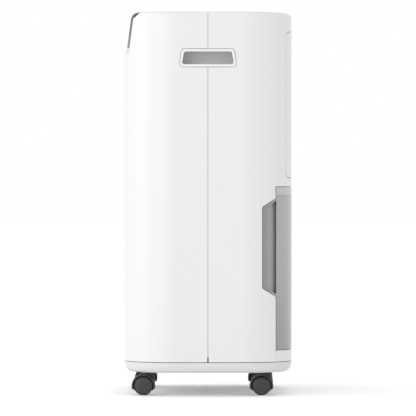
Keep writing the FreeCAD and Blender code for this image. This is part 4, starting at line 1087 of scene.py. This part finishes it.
class DEHUMIDIFIER_OT_handles(bpy.types.Operator):
    """Recessed grab handles with their rims"""

    bl_idname = "dehumidifier.handles"
    bl_label = "Handles"
    bl_options = {"REGISTER", "UNDO"}

    def execute(self, context):
        c = settings("cabinet")
        g = settings("grip")
        behind = c.half_width - c.wall - 0.2 * MM
        face = c.half_width + g.rise
        back = c.half_width - g.depth
        soft = 1.0 * MM

        def rim(x, grow, corner=RIM_CORNER):
            outline = rounded(trapezoid(g, g.rim_top, g.rim_foot, g.rim_height, grow), corner, 8)
            return [(x, y, z) for y, z in outline]

        def hole(x, grow, corner, lift=0.0):
            points = trapezoid(g, g.hole_top, g.hole_foot, g.hole_height, grow)
            points = points[:2] + [(y, z + lift) for y, z in points[2:]]
            return [(x, y, z) for y, z in rounded(points, corner, 8)]

        rows = [hole(back - 2 * MM, 0.5 * MM, 5 * MM, 8 * MM), hole(back + 3 * MM, 2 * MM, 5 * MM, 8 * MM),
                hole(face - 9 * MM, 2 * MM, 5 * MM, 8 * MM), hole(face - 7 * MM, 2 * MM, 5 * MM, 2 * MM),
                hole(behind - 2 * MM, 2 * MM, 5 * MM), rim(behind - 2 * MM, 3 * MM, 8 * MM),
                rim(behind, 3 * MM, 8 * MM), rim(behind, 0.0)]
        rows += [rim(face - soft * (1 - math.sin(a)), -soft * (1 - math.cos(a)))
                 for a in (math.pi / 2 * i / 5 for i in range(6))]
        rows += [hole(face - soft * (1 - math.cos(a)), soft * (1 - math.sin(a)), 3.5 * MM)
                 for a in (math.pi / 2 * i / 5 for i in range(6))]
        rows += [hole(face - 6 * MM, 0, 3.5 * MM), hole(face - 9 * MM, 0, 3.5 * MM, 6 * MM),
                 hole(face - 12 * MM, 0, 3.5 * MM, 8 * MM), hole(back + 4 * MM, 0, 3.5 * MM, 8 * MM),
                 hole(back + 1 * MM, -1.2 * MM, 3.5 * MM, 8 * MM), hole(back, -4 * MM, 3.5 * MM, 8 * MM)]
        for name, sign in RIGHT_LEFT:
            mirrored = [[(x * sign, y, z) for x, y, z in row] for row in rows]
            cup = loft(f"handle_{name}_cup", mirrored)
            finish(cup, "cabinet", "grip", (f"handle_{name}",))
        return {"FINISHED"}


class DEHUMIDIFIER_OT_panel(bpy.types.Operator):
    """Leaning control panel with its display window"""

    bl_idname = "dehumidifier.panel"
    bl_label = "Control Panel"
    bl_options = {"REGISTER", "UNDO"}

    def execute(self, context):
        c = settings("cabinet")
        p = settings("panel")
        half = p.width / 2
        limit = slab("Panel Limit", (-half, half), (-FAR, 0), (0.5, 0.7))
        panel = bowed("control_panel", panel_profile(0, p.thickness, p.reach))
        for vertex in panel.data.vertices:
            if vertex.co.z > c.top - 0.01 * MM:
                vertex.co.z += 0.5 * MM
        panel = carve(panel, outer_form(), limit, operation="INTERSECT")
        gap = 0.15 * MM
        window_space = slab("Window Space", (window_low.x - gap, window_high.x + gap), (-FAR, -0.1),
                            (window_low.z - gap, window_high.z + gap))
        holes = [window_space]
        for key in KEYS:
            (x0, y0, _), (x1, y1, _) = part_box(f"key_{key}")
            trim = 1.1 * MM
            outline = rounded([(x0 + trim, y0 + trim), (x1 - trim, y0 + trim),
                               (x1 - trim, y1 - trim), (x0 + trim, y1 - trim)], 3.4 * MM)
            holes.append(prism("Key Hole", "Z", outline, 0.6, 0.63))
        finish(soften(clean(carve(panel, *holes)), 0.35 * MM), "cabinet", "panel", ("control_fascia",))
        window = carve(bowed("display_glass", panel_profile(0, 2 * MM, p.reach)),
                       slab("Window Limit", (window_low.x, window_high.x), (-FAR, -0.1),
                            (window_low.z, window_high.z)), operation="INTERSECT")
        finish(soften(clean(window), 0.25 * MM), "cabinet", "window", ("display_window",))
        return {"FINISHED"}


class DEHUMIDIFIER_OT_keys(bpy.types.Operator):
    """Six sprung keys, dished for a fingertip"""

    bl_idname = "dehumidifier.keys"
    bl_label = "Keys"
    bl_options = {"REGISTER", "UNDO"}

    def execute(self, context):
        rim = 1.5 * MM
        for key in KEYS:
            low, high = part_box(f"key_{key}")
            middle = (low + high) / 2
            half_x = (high.x - low.x) / 2 - rim
            half_y = (high.y - low.y) / 2 - rim

            def outline(grow, corner, z):
                points = [(-half_x - grow, -half_y - grow), (half_x + grow, -half_y - grow),
                          (half_x + grow, half_y + grow), (-half_x - grow, half_y + grow)]
                return [(middle.x + x, middle.y + y, z) for x, y in rounded(points, corner, 6)]

            top = high.z
            rows = [outline(rim, 3 * MM, top - 4.4 * MM), outline(rim, 3 * MM, top - 3.2 * MM),
                    outline(0, 3 * MM, top - 3.2 * MM)]
            rows += [outline(-0.6 * MM * (1 - math.cos(a)), 3 * MM, top - 0.6 * MM * (1 - math.sin(a)))
                     for a in (math.pi / 2 * i / 4 for i in range(5))]
            rows += [outline(-1.6 * MM, 2 * MM, top - 0.05 * MM),
                     outline(-2.8 * MM, 1.5 * MM, top - 0.3 * MM),
                     outline(-4.2 * MM, 1 * MM, top - 0.42 * MM)]
            stem = lathe("Stem", [(0, low.z - top), (2 * MM, low.z - top), (2 * MM, -4.4 * MM),
                                  (0, -4.4 * MM)], "Z", (middle.x, middle.y, top), 24)
            cap = joined(f"{key}_key_cap", loft("Cap", rows), stem)
            finish(cap, f"key_{key}", "key", (f"key_{key}",))
        return {"FINISHED"}


class DEHUMIDIFIER_OT_outlet(bpy.types.Operator):
    """Air outlet: a frame in the top with a row of slats and cross bars under them"""

    bl_idname = "dehumidifier.outlet"
    bl_label = "Outlet"
    bl_options = {"REGISTER", "UNDO"}

    def execute(self, context):
        low, high = outlet_low, outlet_high
        rim = 5 * MM
        soft = 0.7 * MM

        def outline(grow, z):
            points = [(low.x - grow, low.y - grow), (high.x + grow, low.y - grow),
                      (high.x + grow, high.y + grow), (low.x - grow, high.y + grow)]
            return [(x, y, z) for x, y in rounded(points, 2.2 * MM, 4)]

        edge = [(soft * (1 - math.cos(a)), soft * (1 - math.sin(a)))
                for a in (math.pi / 2 * i / 3 for i in range(4))]
        rows = [outline(0, low.z)] + [outline(-inset, high.z - drop) for inset, drop in edge]
        rows += [outline(inset - rim, high.z - drop) for inset, drop in reversed(edge)]
        rows.append(outline(-rim, low.z))
        surround = torus_loft("Surround", rows)
        count = int((high.y - low.y - 2 * rim) / (8 * MM))
        slat = soften(slab("Slat", (low.x + 1 * MM, high.x - 1 * MM), (-1.2 * MM, 1.2 * MM),
                           (low.z + 1 * MM, high.z - 0.8 * MM)), 0.9 * MM, 3)
        first = (high.y + low.y) / 2 - (count - 1) * 4 * MM
        slats = grow_from(row_tree(), "Slats", slat, "grille", count=count, start=(0, first, 0),
                          step=(0, 8 * MM, 0))
        bar = soften(slab("Bar", (-1.2 * MM, 1.2 * MM), (low.y + 1 * MM, high.y - 1 * MM),
                          (low.z + 0.5 * MM, high.z - 3 * MM)), 0.4 * MM)
        bars = grow_from(row_tree(), "Bars", bar, "grille", count=4, start=(-78 * MM, 0, 0),
                         step=(52 * MM, 0, 0))
        finish(joined("outlet_louvre", surround, slats, bars), "cabinet", "grille",
               ("outlet_grille",))
        return {"FINISHED"}


class DEHUMIDIFIER_OT_inlet(bpy.types.Operator):
    """Wrap-round inlet panel with its ladder of slots, upright ribs and finger dip"""

    bl_idname = "dehumidifier.inlet"
    bl_label = "Inlet Panel"
    bl_options = {"REGISTER", "UNDO"}

    def execute(self, context):
        c = settings("cabinet")
        rear = settings("rear")
        panel = carve(skin("inlet_louvre"),
                      prism("Outline", "Y", inlet_outline(c, rear, 0), 0.1, FAR), operation="INTERSECT")
        half = rear.slot_height / 2
        slot = prism("Slot", "Y", rounded([(-rear.slot_half, -half), (rear.slot_half, -half),
                                           (rear.slot_half, half), (-rear.slot_half, half)],
                                          2.2 * MM, 5), 0.11, 0.15)
        slots = grow_from(row_tree(), "Slots", slot, "grille", count=rear.slot_count,
                          start=(0, 0, rear.slot_first), step=(0, 0, rear.slot_pitch))
        dip = slab("Dip", (-24 * MM, 24 * MM), (130 * MM, FAR), (inlet_high.z - 3 * MM, 0.7))
        panel = soften(clean(carve(panel, slots, dip)), 0.45 * MM)
        last = rear.slot_first + rear.slot_pitch * (rear.slot_count - 1)
        ribs = []
        for x in (-75, -45, -15, 15, 45, 75):
            x = x * MM
            back = c.half_depth - c.wall - x * x / (2 * c.bow)
            ribs.append(soften(slab("Rib", (x - 1 * MM, x + 1 * MM), (back - 3 * MM, back + 0.8 * MM),
                                    (rear.slot_first - 8 * MM, last + 8 * MM)), 0.3 * MM))
        finish(joined("inlet_louvre", panel, *ribs), "inlet_panel", "grille", ("inlet_grille",))
        return {"FINISHED"}


class DEHUMIDIFIER_OT_filter(bpy.types.Operator):
    """Filter frame with its bars; the net gets its weave"""

    bl_idname = "dehumidifier.filter"
    bl_label = "Filter"
    bl_options = {"REGISTER", "UNDO"}

    def execute(self, context):
        low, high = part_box("filter_frame")
        rim = 7 * MM
        soft = 0.6 * MM

        def outline(grow, y):
            points = [(low.x - grow, low.z - grow), (high.x + grow, low.z - grow),
                      (high.x + grow, high.z + grow), (low.x - grow, high.z + grow)]
            return [(x, y, z) for x, z in rounded(points, 2.5 * MM, 4)]

        rows = [outline(-soft, low.y), outline(0, low.y + soft), outline(0, high.y - soft),
                outline(-soft, high.y), outline(soft - rim, high.y), outline(-rim, high.y - soft),
                outline(-rim, low.y + soft), outline(soft - rim, low.y)]
        surround = torus_loft("Surround", rows)
        bar = soften(slab("Bar", (-1.5 * MM, 1.5 * MM), (low.y, low.y + 2 * MM),
                          (low.z + 2 * MM, high.z - 2 * MM)), 0.4 * MM)
        bars = grow_from(row_tree(), "Bars", bar, "filter", count=3, start=(-61 * MM, 0, 0),
                         step=(61 * MM, 0, 0))
        middle = (low.z + high.z) / 2
        cross = soften(slab("Cross Bar", (low.x + 2 * MM, high.x - 2 * MM), (low.y, low.y + 2 * MM),
                            (middle - 1.5 * MM, middle + 1.5 * MM)), 0.4 * MM)
        finish(joined("filter_surround", surround, bars, cross), "air_filter", "filter",
               ("filter_frame",))
        paint("filter_mesh", "net")
        return {"FINISHED"}


class DEHUMIDIFIER_OT_tank(bpy.types.Operator):
    """Smoky water tank with its finger scoops, lid and visible lid band"""

    bl_idname = "dehumidifier.tank"
    bl_label = "Water Tank"
    bl_options = {"REGISTER", "UNDO"}

    def inner(self, name, **limits):
        """The space inside the cabinet's walls, between limits."""
        c = settings("cabinet")
        inside = form(name, c, c.wall, c.underside, c.top - c.wall)
        return carve(inside, slab("Limit", **limits), operation="INTERSECT")

    def execute(self, context):
        rear = settings("rear")
        half = 150 * MM
        wall = 2.5 * MM
        front = tank_low.y
        low = tank_low.z
        face_top = lid_high.z - rear.tank_band
        edge = rear.tank_edge

        def scoop(grow, sign, corner=5 * MM):
            ends = sorted((sign * (half - 1 * MM), sign * 0.2))
            return prism("Scoop", "X", scoop_outline(rear, grow, corner), *ends)

        room = carve(slab("Room", y=(edge, FAR), z=(low, face_top)),
                     slab("Middle", (-half, half), (front, 0.3), (low + 0.5 * MM, face_top - 2 * MM)),
                     scoop(0, 1), scoop(0, -1), operation="UNION")
        bucket = carve(outer_form("tank_vessel"), room, operation="INTERSECT")
        cavity = self.inner("Cavity", x=(-half + wall, half - wall), y=(front + wall, FAR),
                            z=(low + 3 * MM, FAR))
        cutters = [cavity]
        for sign in (1, -1):
            limits = sorted((sign * half, sign * FAR))
            outside = self.inner("Outside", x=limits)
            cutters.append(carve(outside, scoop(0, sign)))
            ramp = [(189, 87.8), (154, 111.7), (154, 122.7), (210, 122.7), (210, 80), (189, 80)]
            recess = prism("Recess", "Z", [(sign * x * MM, y * MM) for x, y in ramp], 0.1, 0.4)
            recess = carve(recess, scoop(-2.5 * MM, sign, 3 * MM), operation="INTERSECT")
            keep = carve(slab("Keep", y=(edge, FAR)), self.inner("Behind"))
            cutters.append(carve(recess, keep))
            behind = [(140, 60), (184, 60), (184, 86.5), (150.6, 108.6), (140, 108.6)]
            void = prism("Void", "Z", [(sign * x * MM, y * MM) for x, y in behind], 0.1, 0.4)
            void = carve(void, slab("Void Limit", x=limits), scoop(-2.5 * MM, sign, 3 * MM),
                         operation="INTERSECT")
            cutters.append(void)
        bucket = carve(bucket, *cutters)
        finish(soften(clean(bucket), 0.5 * MM), "tank", "tank", ("tank_bucket",))

        room = carve(slab("Room", y=(edge, FAR), z=(face_top, lid_high.z)),
                     slab("Plate", (-half, half), (front, 0.3), (face_top + 0.01 * MM, face_top + wall)),
                     slab("Rib", (-half + 3 * MM, half - 3 * MM), (front + 3 * MM, front + 5 * MM),
                          (face_top - 8 * MM, face_top + 1 * MM)), operation="UNION")
        lid = carve(outer_form("tank_cover"), room, operation="INTERSECT")
        mouth = slab("Mouth", (-40 * MM, 40 * MM), (88 * MM, 106 * MM), (0.3, 0.4))
        vent = lathe("Vent", [(0, 0.3), (16 * MM, 0.3), (16 * MM, 0.4), (0, 0.4)], "Z",
                     (96 * MM, 70 * MM, 0), 48)
        lid = carve(lid, self.inner("Above", z=(face_top + wall, FAR)), mouth, vent)
        finish(soften(clean(lid), 0.4 * MM), "tank", "band", ("tank_lid",))
        paint("float_arm", "foam")
        return {"FINISHED"}


class DEHUMIDIFIER_OT_casters(bpy.types.Operator):
    """Twin-wheel casters: hoods with their webs, stems and axles, and dished wheels"""

    bl_idname = "dehumidifier.casters"
    bl_label = "Casters"
    bl_options = {"REGISTER", "UNDO"}

    def execute(self, context):
        wheel_low, wheel_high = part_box("caster_front_right_wheel_right")
        pins_low, pins_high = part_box("caster_front_right_pins")
        place = Vector((*swivel_place("front_right"), 0))
        radius = wheel_high.z / 2
        width = wheel_high.x - wheel_low.x
        inner = wheel_low.x - place.x
        axle = Vector((0, (wheel_low.y + wheel_high.y) / 2 - place.y, radius))
        half = inner + width
        hood = self.hood(axle, half, inner)
        stem = [(0, 31.5), (3.4, 31.5), (4, 32.1), (4, 55.6), (3, 57), (0, 57)]
        pin = [(0, -half / MM + 2.2), (2.6, -half / MM + 2.2), (3, -half / MM + 2.6),
               (3, half / MM - 2.6), (2.6, half / MM - 2.2), (0, half / MM - 2.2)]
        pins = joined("Pins", lathe("Stem", [(r * MM, h * MM) for r, h in stem], "Z", (0, 0, 0), 40),
                      lathe("Axle", [(r * MM, h * MM) for r, h in pin], "X", axle, 32))
        wheels = {name: self.wheel(axle, inner, width, radius, sign) for name, sign in RIGHT_LEFT}
        for corner, _, _ in CORNERS:
            x, y = swivel_place(corner)
            body = f"caster_{corner}"
            self.copy(hood, f"{body}_cover", x, y, body, "hood", f"{body}_hood")
            self.copy(pins, f"{body}_stem", x, y, body, "steel", f"{body}_pins")
            for name, wheel in wheels.items():
                node = f"{body}_wheel_{name}"
                self.copy(wheel, f"{body}_roller_{name}", x, y, node, "wheel", node)
        for pattern in (hood, pins, *wheels.values()):
            bpy.data.objects.remove(pattern)
        return {"FINISHED"}

    def copy(self, pattern, name, x, y, body, material, node):
        mesh = pattern.data.copy()
        mesh.transform(Matrix.Translation((x, y, 0)))
        mesh.name = name
        obj = bpy.data.objects.new(name, mesh)
        bpy.context.scene.collection.objects.link(obj)
        finish(obj, body, material, (node,))

    def hood(self, axle, half, inner):
        outer = 19 * MM
        inside = 16.4 * MM
        soft = 0.8 * MM
        section = [(inside, -half), (outer - soft, -half)]
        section += [(outer - soft + soft * math.sin(a), -half + soft * (1 - math.cos(a)))
                    for a in (math.pi / 2 * i / 4 for i in range(1, 5))]
        section += [(outer - soft + soft * math.cos(a), half - soft * (1 - math.sin(a)))
                    for a in (math.pi / 2 * i / 4 for i in range(5))]
        section.append((inside, half))
        ring_piece = lathe("Ring", section, "X", axle, 96)
        boss = lathe("Boss", [(0, 0), (10 * MM, 0), (8.5 * MM, 12 * MM), (8.5 * MM, 15.6 * MM),
                              (7.8 * MM, 16.3 * MM), (0, 16.3 * MM)], "Z", (0, 0, 21.2 * MM), 48)
        web_half = inner - 0.6 * MM
        web = lathe("Web", [(0, -web_half), (inside + 0.5 * MM, -web_half),
                            (inside + 0.5 * MM, web_half), (0, web_half)], "X", axle, 96)
        low = axle.z
        clear = lathe("Clear", [(0, -0.03), (inside, -0.03), (inside, 0.03), (0, 0.03)], "X", axle, 96)
        body = carve(carve(ring_piece, boss, operation="UNION"), clear)
        body = carve(body, slab("Skirt", z=(-FAR, low - 5.5 * MM)))
        web = carve(web, slab("Web Skirt", z=(-FAR, low - 8 * MM)))
        body = carve(body, web, operation="UNION")
        stem_hole = lathe("Stem Hole", [(0, 31.4 * MM), (4 * MM, 31.4 * MM), (4 * MM, 0.05), (0, 0.05)],
                          "Z", (0, 0, 0), 40)
        return soften(clean(carve(body, stem_hole)), 0.4 * MM)

    def wheel(self, axle, inner, width, r, sign):
        r = r / MM
        w = width / MM
        profile = [(3.05, 0), (6, 0), (6, 1.2), (r - 3.2, 1.2), (r - 3.2, 0), (r - 1, 0), (r - 0.3, 0.3),
                   (r, 1), (r, w - 2.6), (r - 0.3, w - 2), (r - 1.1, w - 1.4), (r - 2.4, w - 0.95),
                   (r - 4.5, w - 0.55), (r - 7.5, w - 0.22), (r - 11, w - 0.04), (0.01, w),
                   (0.01, w - 1.8), (3.05, w - 1.8)]
        rows = [(radius * MM, sign * (inner + depth * MM)) for radius, depth in profile]
        return lathe("Wheel", rows, "X", axle, 96)


class DEHUMIDIFIER_OT_coils(bpy.types.Operator):
    """Fin packs of the evaporator and condenser"""

    bl_idname = "dehumidifier.coils"
    bl_label = "Coils"
    bl_options = {"REGISTER", "UNDO"}

    def execute(self, context):
        tree = row_tree()
        for name in ("evaporator", "condenser"):
            low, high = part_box(f"{name}_fins")
            middle = (low + high) / 2
            fin = slab("Fin", (-0.2 * MM, 0.2 * MM), (low.y, high.y), (low.z, high.z))
            tube = lathe("Tube", [(0, -0.01), (4 * MM, -0.01), (4 * MM, 0.01), (0, 0.01)], "X",
                         (0, middle.y, middle.z - 98 * MM), 20)
            bores = grow_from(tree, "Tubes", tube, "fin", count=8, start=(0, 0, 0), step=(0, 0, 28 * MM))
            fin = clean(carve(fin, bores))
            count = 61
            step = (high.x - low.x - 0.4 * MM) / (count - 1)
            fins = grow_from(tree, "Fins", fin, "fin", count=count, start=(low.x + 0.2 * MM, 0, 0),
                             step=(step, 0, 0))
            finish(joined(f"{name}_pack", fins), "cabinet", "fin", (f"{name}_fins",))
        return {"FINISHED"}


class DEHUMIDIFIER_OT_blower(bpy.types.Operator):
    """Centrifugal fan wheel with its crown of blades"""

    bl_idname = "dehumidifier.blower"
    bl_label = "Blower"
    bl_options = {"REGISTER", "UNDO"}

    def execute(self, context):
        low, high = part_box("blower_wheel")
        centre = Vector((0, 0, (low.z + high.z) / 2))
        r = high.z - centre.z
        plate = [(4, 0), (r / MM - 0.6, 0), (r / MM, 0.6), (r / MM, 2), (60, 2), (40, 3), (14, 8),
                 (12, 22), (4, 22)]
        disc = lathe("Disc", [(x * MM, low.y + h * MM) for x, h in plate], "Y", centre, 96)
        rim = [(r - 9 * MM, high.y - 2 * MM), (r - 9 * MM, high.y - 0.4 * MM), (r - 8.6 * MM, high.y),
               (r - 0.6 * MM, high.y), (r, high.y - 0.6 * MM), (r, high.y - 2 * MM)]
        crown = lathe("Rim", rim, "Y", centre, 96)
        root = r - 13 * MM
        reach = r - 0.5 * MM
        camber = []
        for i in range(9):
            t = i / 8
            camber.append((root + (reach - root) * t, 4.5 * MM * t * t + 1.2 * MM * math.sin(math.pi * t)))
        section = [(x, z - 0.75 * MM) for x, z in camber] + [(x, z + 0.75 * MM) for x, z in reversed(camber)]
        blade = prism("Blade", "Y", section, low.y + 1 * MM, high.y - 1 * MM)
        blades = grow_from(ring_tree(), "Blades", blade, "blower", count=30, centre=centre,
                           axis=(0, 1, 0))
        finish(joined("fan_impeller", disc, crown, blades), "blower", "blower", ("blower_wheel",))
        paint("fan_shaft", "steel")
        return {"FINISHED"}


class DEHUMIDIFIER_OT_fittings(bpy.types.Operator):
    """Drain port, its plug and the cord gland"""

    bl_idname = "dehumidifier.fittings"
    bl_label = "Fittings"
    bl_options = {"REGISTER", "UNDO"}

    def execute(self, context):
        for node, material in (("drain_port", "port"), ("drain_plug", "plug"), ("cord_gland", "port"),
                               ("base_screws", "steel")):
            paint(node, material)
        return {"FINISHED"}


INSIDE = {
    "display_board": "board", "key_board": "board", "coil_shroud": "sheet", "drip_tray": "liner",
    "evaporator_tubes": "copper", "condenser_tubes": "copper", "fan_scroll": "scroll",
    "fan_motor": "motor", "compressor": "compressor", "compressor_mounts": "rubber",
    "accumulator": "copper", "refrigerant_pipes": "copper", "electrical_box": "case",
    "capacitor": "can", "tank_bay": "liner",
}


class DEHUMIDIFIER_OT_inside(bpy.types.Operator):
    """Finishes for the machinery inside"""

    bl_idname = "dehumidifier.inside"
    bl_label = "Machinery"
    bl_options = {"REGISTER", "UNDO"}

    def execute(self, context):
        for node, material in INSIDE.items():
            paint(node, material)
        return {"FINISHED"}


# ---------------------------------------------------------------- stage


def area_light(name, place, aim, size, power):
    """A soft square light that points at a spot."""
    data = bpy.data.lights.new(name, "AREA")
    data.shape = "RECTANGLE"
    data.size, data.size_y = size
    data.energy = power
    light = bpy.data.objects.new(name, data)
    light.location = place
    light.rotation_euler = (Vector(aim) - Vector(place)).to_track_quat("-Z", "Y").to_euler()
    bpy.context.scene.collection.objects.link(light)


class DEHUMIDIFIER_OT_stage(bpy.types.Operator):
    """Floor, soft lights, pale surroundings and the camera"""

    bl_idname = "dehumidifier.stage"
    bl_label = "Stage"
    bl_options = {"REGISTER", "UNDO"}

    def execute(self, context):
        scene = bpy.context.scene
        bm = bmesh.new()
        bmesh.ops.create_grid(bm, x_segments=8, y_segments=8, size=40)
        floor = new_object("studio_floor", bm)
        hue = settings("colours")
        s = Shader("studio_floor", roughness=0.9)
        tone = s.noise(0.8, 2)
        s.set("Base Color", s.mix(tone, shade(tuple(hue.floor), 0.99), shade(tuple(hue.floor), 1.01)))
        s.set("Emission Color", (1, 1, 1))
        s.set("Emission Strength", 0.12)
        floor.data.materials.append(s.material)

        world = bpy.data.worlds.new("Studio")
        world.use_nodes = True
        background = next(n for n in world.node_tree.nodes if n.type == "BACKGROUND")
        background.inputs["Color"].default_value = (1, 1, 1, 1)
        background.inputs["Strength"].default_value = 1.0
        scene.world = world

        middle = (0, 0, 0.33)
        area_light("Key", (0.7, -3.4, 1.5), middle, (1.6, 2.4), 30)
        area_light("Fill", (4.2, -2.0, 1.5), middle, (2.2, 2.2), 38)
        area_light("Rear", (-3.2, 1.4, 2.4), middle, (2.2, 2.2), 8)

        data = bpy.data.cameras.new("Camera")
        data.lens = 313.3
        data.sensor_width = 36
        data.shift_y = -0.029
        camera = bpy.data.objects.new("Camera", data)
        camera.location = (5.9925, 0, 0.3222)
        camera.rotation_euler = (math.radians(90), 0, math.radians(90))
        scene.collection.objects.link(camera)
        scene.camera = camera
        scene.view_settings.view_transform = "Standard"
        return {"FINISHED"}


OPERATORS = (
    DEHUMIDIFIER_OT_shells, DEHUMIDIFIER_OT_base, DEHUMIDIFIER_OT_handles, DEHUMIDIFIER_OT_panel,
    DEHUMIDIFIER_OT_keys, DEHUMIDIFIER_OT_outlet, DEHUMIDIFIER_OT_inlet, DEHUMIDIFIER_OT_filter,
    DEHUMIDIFIER_OT_tank, DEHUMIDIFIER_OT_casters, DEHUMIDIFIER_OT_coils, DEHUMIDIFIER_OT_blower,
    DEHUMIDIFIER_OT_fittings, DEHUMIDIFIER_OT_inside, DEHUMIDIFIER_OT_stage,
)
GROUPS = {"cabinet": CabinetSizes, "grip": GripSizes, "panel": PanelSizes, "rear": RearSizes,
          "colours": Colours}


class DEHUMIDIFIER_PT_sidebar(bpy.types.Panel):
    """Lists the sizes, the colours and a button for each piece"""

    bl_idname = "DEHUMIDIFIER_PT_sidebar"
    bl_label = "Dehumidifier"
    bl_space_type = "VIEW_3D"
    bl_region_type = "UI"
    bl_category = "Dehumidifier"

    def draw(self, context):
        for kind, group in GROUPS.items():
            box = self.layout.box()
            box.label(text=group.__name__)
            for name in group.__annotations__:
                box.prop(getattr(context.scene, f"dehumidifier_{kind}"), name)
        for operator in OPERATORS:
            self.layout.operator(operator.bl_idname)


def register():
    for kind, group in GROUPS.items():
        bpy.utils.register_class(group)
        setattr(bpy.types.Scene, f"dehumidifier_{kind}", PointerProperty(type=group))
    for operator in (*OPERATORS, DEHUMIDIFIER_PT_sidebar):
        bpy.utils.register_class(operator)


def unregister():
    for operator in reversed((*OPERATORS, DEHUMIDIFIER_PT_sidebar)):
        bpy.utils.unregister_class(operator)
    for kind, group in GROUPS.items():
        delattr(bpy.types.Scene, f"dehumidifier_{kind}")
        bpy.utils.unregister_class(group)


def main():
    register()
    for operator in OPERATORS:
        group, name = operator.bl_idname.split(".")
        getattr(getattr(bpy.ops, group), name)()


if __name__ == "__main__":
    main()
